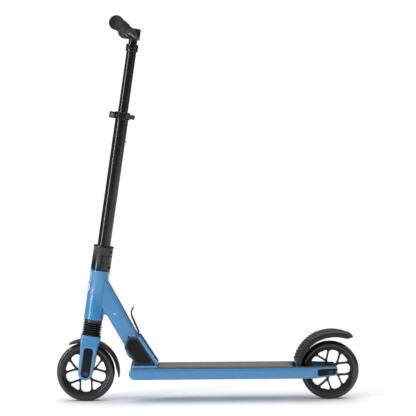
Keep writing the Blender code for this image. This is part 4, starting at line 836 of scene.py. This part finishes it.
def build_front_frame():
    meet = head_joint()
    half, wide = TUBE_HALF_HEIGHT, TUBE_HALF_WIDTH
    sections = []
    heights = [-half * cos(pi / 2 * k / 14) for k in range(1, 14)] + [0, meet * 0.5, meet - 0.02, meet]
    for z in heights:
        reach = sqrt(half ** 2 - z ** 2) if z < 0 else half + 0.0015 * z / meet
        easing = min(0.0052, reach * 0.45)
        sections.append([(a, b, z) for a, b in oblong(reach, wide, easing, 6)])
    made = piece("front_frame", loft(sections), blue, 40)
    wall = TUBE_WALL
    hollow = rounded([(-half + wall, -half * 0.35, 0), (half - wall, -half * 0.35, 0),
                      (half - wall, meet - 0.03, 0), (-half + wall, meet - 0.03, 0)])
    to_tube = TUBE.inverted() @ STEER
    ridge = 0.0002
    head = turned([(0, HEAD_BOTTOM), (HEAD_RADIUS - 0.0006, HEAD_BOTTOM),
                   (HEAD_RADIUS, HEAD_BOTTOM + 0.0006),
                   (HEAD_RADIUS, HEAD_BOTTOM + 0.0068), (HEAD_RADIUS - ridge, HEAD_BOTTOM + 0.0072),
                   (HEAD_RADIUS - ridge, HEAD_TOP - 0.0072), (HEAD_RADIUS, HEAD_TOP - 0.0068),
                   (HEAD_RADIUS, HEAD_TOP - 0.0006), (HEAD_RADIUS - 0.0006, HEAD_TOP), (0, HEAD_TOP)],
                  segments=96, closed=False)
    gusset = [(-half - 0.014, meet - 0.066), (-half + 0.004, meet - 0.088),
              (-half + 0.004, meet - 0.04), (-half - 0.03, meet - 0.04)]
    cut(made, prism(hollow, "Y", -wide + wall, wide - wall))
    join(made, rod(0.0078, -wide + 0.001, wide - 0.001, "Y"),
         plate(gusset, "Y", -0.012, 0.012, 0.0012), moved(head, to_tube))
    bore = [(0, HEAD_BOTTOM - 0.01), (0.0221, HEAD_BOTTOM - 0.01), (0.0221, HEAD_BOTTOM + 0.008),
            (0.0187, HEAD_BOTTOM + 0.008), (0.0187, HEAD_TOP - 0.008), (0.0221, HEAD_TOP - 0.008),
            (0.0221, HEAD_TOP + 0.01), (0, HEAD_TOP + 0.01)]
    cut(made, moved(turned(bore, segments=72, closed=False), to_tube), rod(0.0043, -0.03, 0.03, "Y"))
    travel = LEVER_ABOVE * radians(28)
    slot = arc((0, LOCK_SEAT + travel), 0.0028, 0, 180, 12) + arc((0, LOCK_SEAT), 0.0028, 180, 360, 12)
    rivet, dimple = TUBE.inverted() @ Vector((-0.23, 0, 0.2196)), TUBE.inverted() @ Vector((-0.2136, 0,
                                                                                            0.2069))
    window_box = box((half - 0.006, -0.009, LEVER_ALONG - 0.0115),
                     (half + 0.004, 0.009, LEVER_ALONG + 0.007))
    cut(made, prism(slot, "Y", -0.03, 0.03), rod(0.0028, -0.03, 0.03, "Y", (LEVER_ABOVE, LEVER_ALONG)),
        window_box, rod(0.0011, -0.03, -wide + 0.0006, "Y", (dimple.x, dimple.z)),
        rod(0.0011, wide - 0.0006, 0.03, "Y", (dimple.x, dimple.z)))
    made.data.transform(TUBE)
    for side, label in SIDES:
        head_of_rivet = [(0, side * wide), (0.003, side * wide), (0.0028, side * (wide + 0.0005)),
                         (0.0018, side * (wide + 0.001)), (0, side * (wide + 0.0012))]
        cap = mesh_object(f"frame_rivet_{label}", turned(head_of_rivet, "Y", 32, (rivet.x, rivet.z),
                                                         False), steel, 60)
        cap.data.transform(TUBE)
        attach(cap, "front_frame")
    bead = mesh_object("frame_weld", moved(weld_bead(to_tube), TUBE), weld, 60)
    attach(bead, "front_frame")


def build_lever():
    eye = 0.0028
    thick = 0.0038
    place = TUBE @ Matrix.Translation((LEVER_ABOVE, 0, LEVER_ALONG))
    face = TUBE_HALF_HEIGHT - LEVER_ABOVE
    lever = piece("fold_lever", turned([(eye, -0.0075), (eye + 0.0022, -0.0075), (eye + 0.0022, 0.0075),
                                        (eye, 0.0075)], "Y", 48), black)
    stem = [(eye + 0.0006, -0.0006), (face + 0.0012, -0.0018), (face + 0.004, -0.0012),
            (face + 0.0052, 0.0016)]
    handle = [(face + 0.0046, -0.0006), (face + 0.0058, 0.006), (face + 0.009, 0.037),
              (face + 0.0118, 0.049), (face + 0.016, 0.056), (face + 0.0235, 0.0605)]
    prong = LOCK_SEAT - 0.0032 - GAP - LEVER_ALONG
    join(lever, strap(smooth_route(stem, 4), thick, "Y", 0.0075),
         strap(smooth_route(handle, 8), thick, "Y", 0.013, 0.0011, 0.85),
         box((-LEVER_ABOVE + 0.0011, -0.004, prong - 0.003), (0.003, 0.004, prong)),
         box((-0.003, -0.004, prong - 0.003), (0.003, 0.004, -eye - 0.0009)))
    lever.data.transform(place)


def build_badge():
    """A round printed plate: a pale field, a dark ring and a four-armed mark."""
    radius, height = 0.0145, HEAD_BOTTOM + 0.079
    rings = [0.0, 0.16, 0.3, 0.44, 0.6, 0.76, 0.84, 0.92, 1.0]
    count = 48
    shape = bmesh.new()
    layers = []
    for depth in (HEAD_RADIUS + GAP, HEAD_RADIUS + 0.001):
        layer = []
        for spread in rings[1:]:
            swell = depth - (0.0003 if spread == 1.0 and depth > HEAD_RADIUS + 0.0005 else 0)
            points = arc((0, height), radius * spread, 0, 360 - 360 / count, count - 1)
            layer.append([shape.verts.new((-sqrt(swell ** 2 - y ** 2), y, z)) for y, z in points])
        layers.append((shape.verts.new((-depth, 0, height)), layer))
    for middle, layer in layers:
        for i in range(count):
            j = (i + 1) % count
            shape.faces.new((middle, layer[0][i], layer[0][j]))
            for k, (inner, outer) in enumerate(zip(layer, layer[1:])):
                face = shape.faces.new((inner[i], outer[i], outer[j], inner[j]))
                arms = (i + 3) % 12 < 6
                face.material_index = 1 if k == 5 or (k == 1 and arms) or (k == 2 and arms) else 0
    back, front = layers[0][1][-1], layers[1][1][-1]
    bridge(shape, [back, front])
    piece("head_badge", moved(shape, STEER), (white, ink), 50)


# --------------------------------------------------------------- steering column
def steer_piece(name, shape, look, sharp=35):
    return piece(name, moved(shape, STEER), look, sharp)


def socket_screw(name, axis, head_at, head_end, tail, radius, head_radius, centre):
    """A socket-head screw from its head to its tail."""
    way = 1 if head_end > head_at else -1
    profile = [(0, head_end), (head_radius - 0.0004, head_end), (head_radius, head_end - way * 0.0004),
               (head_radius, head_at), (radius, head_at), (radius, tail), (0, tail)]
    made = piece(name, turned(profile, axis, 40, centre, False), dark_steel)
    recess = [(centre[0] + a, centre[1] + b) for a, b in hexagon(head_radius * 0.52)]
    cut(made, prism(recess, axis, *sorted((head_end + way * 0.001, head_end - way * 0.0014))))
    made.data.transform(STEER)


def build_sleeve():
    low, high, joint = SLEEVE_BOTTOM, SLEEVE_TOP, (SLEEVE_BOTTOM + SLEEVE_TOP) / 2
    bore_low, bore_high = STEERER_RADIUS + GAP, LOWER_RADIUS + GAP
    outer = SLEEVE_RADIUS
    profile = [(bore_low, low), (outer - 0.001, low), (outer, low + 0.001), (outer, high - 0.0046),
               (outer + 0.0003, high - 0.004), (outer + 0.0008, high - 0.0034),
               (outer + 0.0008, high - 0.0006),
               (outer + 0.0004, high), (bore_high, high), (bore_high, joint), (bore_low, joint)]
    sleeve = piece("clamp_sleeve", turned(profile, segments=96), black)
    cut(sleeve, box((0.012, -0.0015, low - 0.01), (0.04, 0.0015, high + 0.01)),
        *[box((-0.002, -0.03, low + at - 0.0007), (0.03, 0, low + at + 0.0007)) for at in (0.0205,
                                                                                           0.037)])
    across = (SLEEVE_RADIUS + STEERER_RADIUS) / 2
    for label, height in (("lower", low + 0.01), ("upper", high - 0.0125)):
        centre = (across, height)
        cut(sleeve, rod(0.0024, -0.03, 0.03, "Y", centre), rod(0.0037, -0.03, -0.0055, "Y", centre),
            rod(0.0037, 0.0075, 0.03, "Y", centre))
        socket_screw(f"clamp_bolt_{label}", "Y", -0.0058, -0.0092, 0.0072, 0.0021, 0.0034, centre)
    sleeve.data.transform(STEER)


def collar(name, inner, height, ear, ear_reach, look):
    low, high, outer = height - COLLAR_HALF, height + COLLAR_HALF, inner + COLLAR_WALL
    profile = softened([(inner, low), (outer, low), (outer, high), (inner, high)], 0.0006)
    made = piece(name, turned(profile, segments=72), look)
    ears = rounded([(-ear, -ear_reach, 0.002), (ear, -ear_reach, 0.002), (ear, -inner - 0.0012, 0),
                    (-ear, -inner - 0.0012, 0)], 6)
    join(made, plate(ears, "Z", low + 0.0015, high - 0.0015, 0.0008))
    cut(made, box((-0.0011, -ear_reach - 0.01, low - 0.01), (0.0011, -inner * 0.7, high + 0.01)),
        rod(0.0028, -0.03, 0.03, "X", (-(outer + ear_reach) / 2, height)))
    made.data.transform(STEER)
    return -(outer + ear_reach) / 2


def build_column():
    inner = LOWER_RADIUS - 0.0016
    joint = (SLEEVE_BOTTOM + SLEEVE_TOP) / 2
    neck = MIDDLE_RADIUS + GAP
    profile = [(inner, joint), (LOWER_RADIUS, joint), (LOWER_RADIUS, LOWER_TOP - 0.0004),
               (LOWER_RADIUS - 0.0004, LOWER_TOP), (neck, LOWER_TOP), (neck, LOWER_TOP - 0.04),
               (inner, LOWER_TOP - 0.043)]
    tube = piece("lower_tube", turned(profile, segments=96), black)
    button = LOWER_TOP - 0.0725
    cut(tube, rod(0.0045, LOWER_RADIUS - 0.006, LOWER_RADIUS + 0.01, "X", (0, button)))
    tube.data.transform(STEER)
    knob = [(0, inner), (0.0042, inner), (0.0042, LOWER_RADIUS + 0.001), (0.0038, LOWER_RADIUS + 0.0019),
            (0.0029, LOWER_RADIUS + 0.0025), (0.0015, LOWER_RADIUS + 0.0028), (0, LOWER_RADIUS + 0.0028)]
    steer_piece("height_button", turned(knob, "X", 40, (0, button), False), steel, 60)

    tube_inner = MIDDLE_RADIUS - MIDDLE_WALL
    bottom = middle_bottom()
    profile = softened([(tube_inner, bottom), (MIDDLE_RADIUS, bottom), (MIDDLE_RADIUS, MIDDLE_TOP),
                        (tube_inner, MIDDLE_TOP)])
    steer_piece("middle_tube", turned(profile, segments=80), black)
    height = MIDDLE_TOP + 0.0015 - COLLAR_HALF
    side = collar("bar_clamp", MIDDLE_RADIUS + GAP, height, 0.0062, 0.0235, black)
    socket_screw("bar_clamp_bolt", "X", -0.0065, -0.0092, 0.0092, 0.0025, 0.004, (side, height))

    height = LOWER_TOP - 0.0095
    skewer_side = LOWER_RADIUS + GAP + COLLAR_WALL + 0.0025 + 0.0034
    collar("height_clamp", LOWER_RADIUS + GAP, height, 0.009,
           2 * skewer_side - LOWER_RADIUS - GAP - COLLAR_WALL, black)
    tip = CAM_OFFSET + CAM_RADIUS + GAP
    profile = [(0, tip), (0.0025, tip), (0.0025, 0.0093), (0.004, 0.0093), (0.004, 0.0178),
               (0.0052, 0.0183),
               (0.0058, 0.019), (0.0058, 0.0303), (0.0054, 0.0313), (0.0046, 0.032), (0, 0.032)]
    steer_piece("clamp_skewer", turned(profile, "X", 48, (-skewer_side, height), False), dark_steel)

    half = 0.0078
    lever = piece("clamp_lever", disc(CAM_RADIUS, -half, half, segments=56, rim=0.0008), black)
    bend = smooth_route([(-0.005, 0.003), (-0.0062, 0.012), (-0.0052, 0.023), (-0.001, 0.034),
                         (0.0062, 0.043), (0.014, 0.049)], 6)
    join(lever, strap(bend, 0.0032, "Z", half - 0.0015, 0.0007, 0.9))
    pin = [(0, -0.0076), (0.0044, -0.0076), (0.0044, -0.0072), (0.0038, -0.0068), (0, -0.0066)]
    cut(lever, rod(0.0046, -0.008, -0.007, "Y"))
    place = STEER @ Matrix.Translation((CAM_OFFSET, -skewer_side, height))
    lever.data.transform(place)
    face = mesh_object("clamp_lever_pivot", moved(turned(pin, "Y", 40, closed=False), place), steel, 50)
    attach(face, "clamp_lever")


def middle_bottom():
    """Height of the middle tube's lower end, up the steering axis."""
    corners = [STEER.inverted() @ vertex.co for vertex in frame["nodes"]["middle_tube"].data.vertices]
    return min(corner.z for corner in corners)


def bar_place(side):
    sweep, rise = radians(8.3), radians(3.2)
    out = Vector((-sin(sweep), side * cos(sweep), tan(rise))).normalized()
    turn = out.to_track_quat("Z", "X").to_matrix().to_4x4()
    return Matrix.Translation((0, 0, BAR_HEIGHT)) @ turn


def build_bars():
    stub = MIDDLE_RADIUS - MIDDLE_WALL - GAP
    low, high, block = BAR_HEIGHT - 0.012, BAR_HEIGHT + 0.016, 0.0158
    stub_end = MIDDLE_TOP - 0.122
    core = [(0, low + 0.001), (0, high), (block - 0.0024, high), (block - 0.0008, high - 0.0006),
            (block, high - 0.0022), (block, low + 0.0018), (block - 0.0006, low + 0.0005),
            (block - 0.0018, low),
            (stub, low), (stub, stub_end), (stub - 0.0018, stub_end), (stub - 0.0018, low + 0.001)]
    bar = piece("handlebar", turned(core, segments=80), black)
    for side, _ in SIDES:
        join(bar, moved(rod(BAR_RADIUS, 0.004, BAR_HALF_SPAN, segments=72), bar_place(side)))
    for side, label in SIDES:
        cut(bar, moved(rod(BAR_RADIUS - 0.0022, 0.024, BAR_HALF_SPAN + 0.01, segments=48),
                       bar_place(side)))
        grip(side, label)
    bar.data.transform(STEER)


def grip(side, label):
    """A rubber grip: a plain inner cuff, a ribbed barrel and a flanged end."""
    end = BAR_HALF_SPAN + 0.0008
    start = end - 0.112
    bore, full, flange = BAR_RADIUS + GAP, 0.0156, 0.0174
    slim = full - 0.0008
    profile = [(bore, start), (slim - 0.001, start), (slim - 0.0002, start + 0.0005),
               (slim, start + 0.0014),
               (slim, start + 0.025), (slim - 0.0004, start + 0.0262), (slim - 0.0012, start + 0.0272),
               (slim - 0.0012, start + 0.0295)]
    ribs = 20
    first, last = start + 0.031, end - 0.0075
    pitch = (last - first) / ribs
    for k in range(ribs):
        base = first + k * pitch
        profile += [(full - 0.0006, base), (full, base + pitch * 0.2), (full, base + pitch * 0.7),
                    (full - 0.0006, base + pitch * 0.9)]
    profile += [(full, end - 0.006), (flange - 0.0006, end - 0.0048), (flange, end - 0.004),
                (flange, end + 0.0006), (flange - 0.0004, end + 0.0014), (flange - 0.0012, end + 0.0018),
                (flange - 0.0022, end + 0.0018), (flange - 0.003, end + 0.0012), (0.005, end + 0.0012),
                (0.0046, end + 0.0008), (0, end + 0.0008), (0, end - 0.0004), (bore, end - 0.0004)]
    made = piece(f"grip_{label}", moved(turned(profile, segments=64), bar_place(side)), rubber, 50)
    made.data.transform(STEER)


# ----------------------------------------------------------------------- fork
LEG_SHAPE = ((0.0, 0.0182), (0.004, 0.0187), (0.019, 0.0197), (0.053, 0.0208), (0.069, 0.0222),
             (0.084, 0.0247), (0.0945, 0.0254))


def leg_half(w):
    """Half the fork leg's depth at a height above the axle."""
    if w < 0:
        return sqrt(max(0.0, 0.0174 ** 2 - w ** 2)) + 0.0008 * (1 + w / 0.0174)
    for (low, first), (high, last) in zip(LEG_SHAPE, LEG_SHAPE[1:]):
        if w <= high:
            return first + (last - first) * (w - low) / (high - low)
    return LEG_SHAPE[-1][1]


def crown_half(w):
    """Half the fork's width at a height above the axle."""
    return FORK_HALF - max(0.0, w - 0.07) * 0.0073 / 0.023


def fork_inlay_outline(spread):
    foot, top = 0.0112 + spread, CROWN_TOP - 0.029 + spread
    outline = arc((0.0002, 0), foot, 180, 360, 20)
    return outline + rounded([(foot + 0.0002, 0, 0), (0.0116 + spread, top, 0.008),
                              (-0.0116 - spread, top, 0.008), (-foot + 0.0002, 0, 0)], 10)[1:-1]


def build_fork():
    heights = [-0.0173 * cos(pi / 2 * k / 12) for k in range(1, 12)]
    heights += [0, 0.01, 0.019, 0.036, 0.053, 0.061, 0.066, 0.069, 0.0705, 0.073, 0.078, 0.084]
    heights += [0.0895, 0.091, 0.092, 0.0927, CROWN_TOP]
    sections = []
    for w in heights:
        deep, wide = leg_half(w), crown_half(w)
        top = max(0.0, (w - 0.0895) / (CROWN_TOP - 0.0895))
        shrink = 0.003 * (1 - sqrt(max(0.0, 1 - top ** 2)))
        deep, wide = deep - shrink, wide - shrink
        easing = min(0.0048 + 0.004 * max(0.0, (w - 0.066) / 0.027), deep * 0.6)
        sections.append([(a, b, w) for a, b in oblong(deep, wide, easing, 7)])
    fork = piece("fork", loft(sections), blue, 40)
    tunnel = FENDER_RADIUS + 0.0026
    arch = rounded([(-FORK_INNER, -0.05, 0), (FORK_INNER, -0.05, 0), (FORK_INNER, tunnel, 0.004),
                    (-FORK_INNER, tunnel, 0.004)], 6)
    cut(fork, prism(arch, "X", -0.05, 0.05))
    for side in (-1, 1):
        join(fork, disc(BOSS_RADIUS, *span(side, HUB_HALF + GAP, FORK_INNER + 0.002), "Y"))
    stem_top = CROWN_TOP + STEM_REACH
    join(fork, rod(0.015, CROWN_TOP - 0.002, stem_top, segments=64))
    face = FORK_HALF - 0.004
    cut(fork, rod(0.0105, CROWN_TOP + 0.004, stem_top + 0.01), rod(0.0043, -0.05, 0.05, "Y"))
    for side, label in SIDES:
        pocket = sorted((side * (FORK_HALF - 0.0021), side * (FORK_HALF + 0.01)))
        recess = sorted((side * (face - GAP), side * (FORK_HALF + 0.01)))
        cut(fork, prism(fork_inlay_outline(GAP), "Y", *pocket), rod(HEAD_R + GAP, *recess, "Y"))
        inlay = piece(f"fork_inlay_{label}",
                      plate(fork_inlay_outline(0), "Y", side * (FORK_HALF - 0.0018),
                            side * (FORK_HALF - 0.0003),
                            0.0005), plastic)
        cut(inlay, rod(HEAD_R + 2 * GAP, *span(side, 0.02, 0.06), "Y"))
        inlay.data.transform(STEER)
    fork.data.transform(STEER)


def build_bellows():
    """Rubber gaiter of five rounded folds between two cuffs."""
    low, high = CROWN_TOP + GAP, BELLOWS_TOP - GAP
    folds, wall, cuff = 5, 0.0011, 0.0034
    outer, inner = HEAD_RADIUS + 0.0002, HEAD_RADIUS - 0.0064
    step = (high - low - 2 * cuff) / folds
    wave = [(outer - 0.0008, low), (outer - 0.0006, low + 0.0004), (outer - 0.0006, low + cuff - 0.0014)]
    for k in range(folds):
        for t in range(10):
            swell = (0.5 - 0.5 * cos(2 * pi * t / 10)) ** 0.9
            wave.append((inner + wall + (outer - inner - wall) * swell, low + cuff + (k + t / 10) * step))
    wave += [(inner + wall, high - cuff), (outer - 0.0022, high - cuff + 0.001),
             (outer - 0.0022, high - 0.0004), (outer - 0.0026, high)]
    back = [(radius - wall * 1.2, height) for radius, height in wave[::-1]]
    bellows = mesh_object("bellows_fine", moved(turned(wave + back, segments=72), STEER), gaiter, 60)
    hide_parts("bellows")
    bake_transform(bellows)


def build_spring():
    """The main spring between the fork's stem and the column."""
    bottom, top = CROWN_TOP + STEM_REACH + GAP, (SLEEVE_BOTTOM + SLEEVE_TOP) / 2 - 0.005 - GAP
    radius, wire, turns = 0.01025, 0.0015, 8
    steps = turns * 32
    climb = (top - bottom - 2 * wire) / steps
    sections = []
    for k in range(steps + 1):
        turn = 2 * pi * k / 32
        out = Vector((cos(turn), sin(turn), 0))
        up = Vector((-sin(turn) * radius, cos(turn) * radius,
                     climb * 32 / (2 * pi))).normalized().cross(out)
        here = out * radius + Vector((0, 0, bottom + wire + climb * k))
        sections.append(hoop(here, out, up, wire, 10))
    spring = mesh_object("suspension_spring_fine", moved(loft(sections), STEER), steel, 60)
    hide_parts("suspension_spring")
    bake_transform(spring)


# -------------------------------------------------------------------- fenders
def fender_section(centre, turn, outer, skirt, half, wall, raised=0.0, band=0.0):
    """One cross-section of a fender, open towards the wheel, with rounded shoulders."""
    shoulder = min(0.006, (outer - skirt) * 0.5)
    lip = skirt + (outer - skirt) * 0.34
    edge = [(half, skirt), (half, lip - 0.0008), (half + 0.0006, lip - 0.0002),
            (half + 0.0006, lip + 0.0006),
            (half, lip + 0.0012), (half, outer - shoulder)]
    curve = [(half - shoulder * (1 - cos(t)), outer - shoulder + shoulder * sin(t))
             for t in (pi / 2 * k / 5 for k in range(1, 6))]
    band = min(band, half - shoulder - 0.0022)
    side = edge + curve + [(band + 0.0016, outer), (band + 0.0004, outer + raised * 0.7),
                           (band - 0.0006, outer + raised),
                           (0.0, outer + raised)]
    deep = outer - wall
    bend = shoulder * 0.8
    inner = [(half - wall, skirt), (half - wall, deep - bend)]
    inner += [(half - wall - bend * (1 - cos(t)), deep - bend + bend * sin(t))
              for t in (pi / 2 * k / 5 for k in range(1, 6))]
    run = side + [(-y, r) for y, r in side[-2::-1]] + [(-y, r) for y, r in inner] + inner[::-1]
    return [(centre[0] + r * cos(turn), y, centre[1] + r * sin(turn)) for y, r in run]


def build_front_fender():
    outer, half = FENDER_RADIUS, 0.019
    sections = []
    first, last, steps = 129.0, 0.0, 64
    for k in range(steps + 1):
        turn = first + (last - first) * k / steps
        from_end = min(k, steps - k) / steps * 18
        deep = 0.0085 * min(1.0, 0.4 + 0.24 * from_end)
        narrow = 0.003 * max(0.0, 2 - from_end) / 2
        sections.append(fender_section((0.0015, 0.0), radians(turn), outer - 0.0006, outer - deep,
                                       half - narrow,
                                       0.0018, 0.0006, 0.008))
    made = piece("front_fender", loft(sections), fender_plastic, 45)
    join(made, disc(0.006, outer - 0.0014, outer + 0.0026 - GAP, centre=(0.0015, 0), segments=32))
    made.data.transform(STEER)


def build_rear_fender():
    """The brake fender, with serrated ribs over its front and a raised lip."""
    centre = REAR_AXLE + Vector((0.0066, 0, 0.004))
    outer, half = REAR_FENDER_RADIUS, 0.04
    skirt = outer - 0.014
    first_rib, last_rib, count = 166.0, 112.0, 11
    pitch = (first_rib - last_rib) / count
    stations = [(178.0 - 2.0 * k, 0) for k in range(6)]
    for k in range(count):
        start = first_rib - k * pitch
        stations += [(start, -0.3), (start - pitch * 0.06, 1.2), (start - pitch * 0.16, 2.1),
                     (start - pitch * 0.4, 1.5),
                     (start - pitch * 0.75, 0.2)]
    stations += [(111.0 - 2.0 * k, 0) for k in range(19)]
    stations += [(72.0, 0.3), (70.5, 0.6), (68.2, 0.8), (66.0, 0.9), (63.5, 0.85), (61.5, 0.8),
                 (59.6, 0.5), (58.5, 0.2)]
    last = stations[-1][0]
    sections = []
    for turn, raised in stations:
        tail = max(0.0, (112.0 - turn) / (112.0 - last))
        lift = 0.003 * tail ** 2 + 0.0105 * max(0.0, (68.0 - turn) / (68.0 - last)) ** 2
        sections.append(fender_section((centre.x, centre.z), radians(turn), outer + 0.001 * tail,
                                       skirt + lift,
                                       half - 0.012 * tail ** 1.5, 0.0026, 0.0016 * raised,
                                       0.6 * half - 0.008 * tail))
    made = piece("rear_fender", loft(sections), fender_plastic, 40)
    link = [(-0.0041, -0.004), (0.004, -0.0042), (0.009, 0.001), (0.006, 0.019), (-0.001, 0.019)]
    link = rounded([(FENDER_PIVOT.x + a, FENDER_PIVOT.z + b, 0.0008) for a, b in link], 4)
    hinge = (FENDER_PIVOT.x, FENDER_PIVOT.z)
    for side in (-1, 1):
        low, high = sorted((side * (half - 0.016), side * (half + 0.0008)))
        join(made, plate(link, "Y", low, high, 0.0005), disc(0.0058, low, high, "Y", hinge, 40, 0.0005))
    cut(made, rod(FENDER_PIN_BORE, -0.05, 0.05, "Y", hinge))


# ------------------------------------------------------------------- assemble
wheel("front", FRONT_AXLE, radians(54))
wheel("rear", REAR_AXLE, radians(4))
axle("front", FORK_HALF - 0.004, Vector((0, 0, 0)))
for end_piece in ("front_axle_fine", "front_axle_nut_fine"):
    bpy.data.objects[end_piece].data.transform(STEER)
axle("rear", axle_face(), REAR_AXLE)
build_deck()
for side, label in SIDES:
    build_rail(side, label)
    build_cover(side, label)
    inlay = piece(f"arm_inlay_{label}", arm_inlay(side, 0, 0.0018, -0.0003, 0.0004), plastic)
    cut(inlay, rod(HEAD_R + 2 * GAP, *span(side, 0.02, 0.06), "Y", (REAR_AXLE.x, REAR_AXLE.z)))
build_front_frame()
build_lever()
build_badge()
build_sleeve()
build_column()
build_bars()
build_fork()
build_bellows()
build_spring()
build_front_fender()
build_rear_fender()
paint(blue, "fold_bracket")
paint(steel, "pivot_bolt", "pivot_nut", "lever_pin", "lock_pin", "headset_bearing_upper",
      "headset_bearing_lower", "fender_pin", "fender_spring")
paint(dark_steel, "steerer_tube", "brake_pad")


# --------------------------------------------------------- studio and camera
def studio():
    """A white floor, a dome dim at the horizon, a white backdrop, three soft boxes and a broad sun."""
    floor = bpy.data.materials.new("studio_floor")
    floor.use_nodes = True
    shader = floor.node_tree.nodes["Principled BSDF"]
    shader.inputs["Base Color"].default_value = (0.92, 0.92, 0.92, 1)
    shader.inputs["Roughness"].default_value = 0.9
    shader.inputs["Specular IOR Level"].default_value = 0.1
    mesh = bpy.data.meshes.new("studio_floor")
    reach = 3.2
    mesh.from_pydata([(-reach, -reach, 0), (reach, -reach, 0), (reach, reach, 0), (-reach, reach, 0)], [],
                     [(0, 1, 2, 3)])
    mesh.materials.append(floor)
    made = bpy.data.objects.new("studio_floor", mesh)
    scene.collection.objects.link(made)

    world = bpy.data.worlds.new("studio_dome")
    scene.world = world
    world.use_nodes = True
    tree = world.node_tree
    dome = tree.nodes["Background"]
    position = node(tree, "ShaderNodeTexCoord")
    split = node(tree, "ShaderNodeSeparateXYZ")
    tree.links.new(position.outputs["Generated"], split.inputs["Vector"])
    shade = ramp(tree, split.outputs["Z"], 0.15, 0.95, (0.1, 0.1, 0.1), (1, 1, 1))
    tree.links.new(shade.outputs["Color"], dome.inputs["Color"])
    dome.inputs["Strength"].default_value = DOME
    backdrop = node(tree, "ShaderNodeBackground", Color=(1, 1, 1, 1), Strength=1.03)
    path = node(tree, "ShaderNodeLightPath")
    mix = node(tree, "ShaderNodeMixShader")
    tree.links.new(path.outputs["Is Camera Ray"], mix.inputs["Fac"])
    tree.links.new(dome.outputs["Background"], mix.inputs[1])
    tree.links.new(backdrop.outputs["Background"], mix.inputs[2])
    tree.links.new(mix.outputs["Shader"], tree.nodes["World Output"].inputs["Surface"])
    for name, place, aim, size, power in (
            ("strip", (-2.35, -1.4, 1.0), (0, 0, 0.5), (0.26, 2.6), 42.0),
            ("key", (-1.0, -3.0, 2.6), (0, 0, 0.35), (1.4, 1.4), 3.0),
            ("edge", (2.3, -0.7, 1.0), (0, 0, 0.5), (0.5, 2.4), 5.0)):
        lamp = bpy.data.lights.new(name, "AREA")
        lamp.shape = "RECTANGLE"
        lamp.size, lamp.size_y = size
        lamp.energy = power
        holder = bpy.data.objects.new(name, lamp)
        scene.collection.objects.link(holder)
        holder.location = place
        holder.rotation_euler = (Vector(aim) - Vector(place)).to_track_quat("-Z", "Y").to_euler()
    sun = bpy.data.objects.new("overhead", bpy.data.lights.new("overhead", "SUN"))
    sun.data.energy, sun.data.angle = 1.15, radians(58)
    sun.rotation_euler = (radians(-4), 0, 0)
    scene.collection.objects.link(sun)
    scene.view_settings.view_transform = "Standard"


def camera():
    """The eye stands on the scooter's left, a little above the deck, looking slightly down."""
    focal = 1689.7
    pitch, yaw, roll = atan(98 / focal), atan(13 / focal), radians(0.445)
    forward = Vector((sin(yaw) * cos(pitch), cos(yaw) * cos(pitch), -sin(pitch)))
    right = Vector((cos(yaw), -sin(yaw), 0))
    up = right.cross(forward)
    axes = (right * cos(roll) - up * sin(roll), up * cos(roll) + right * sin(roll), -forward)
    lens = bpy.data.cameras.new("eye")
    lens.lens = 146.22
    lens.sensor_width = 36.0
    lens.clip_end = 50.0
    made = bpy.data.objects.new("eye", lens)
    scene.collection.objects.link(made)
    made.matrix_world = Matrix.Translation((-0.0288, -4.2, 0.724)) @ Matrix(axes).transposed().to_4x4()
    scene.camera = made


studio()
camera()
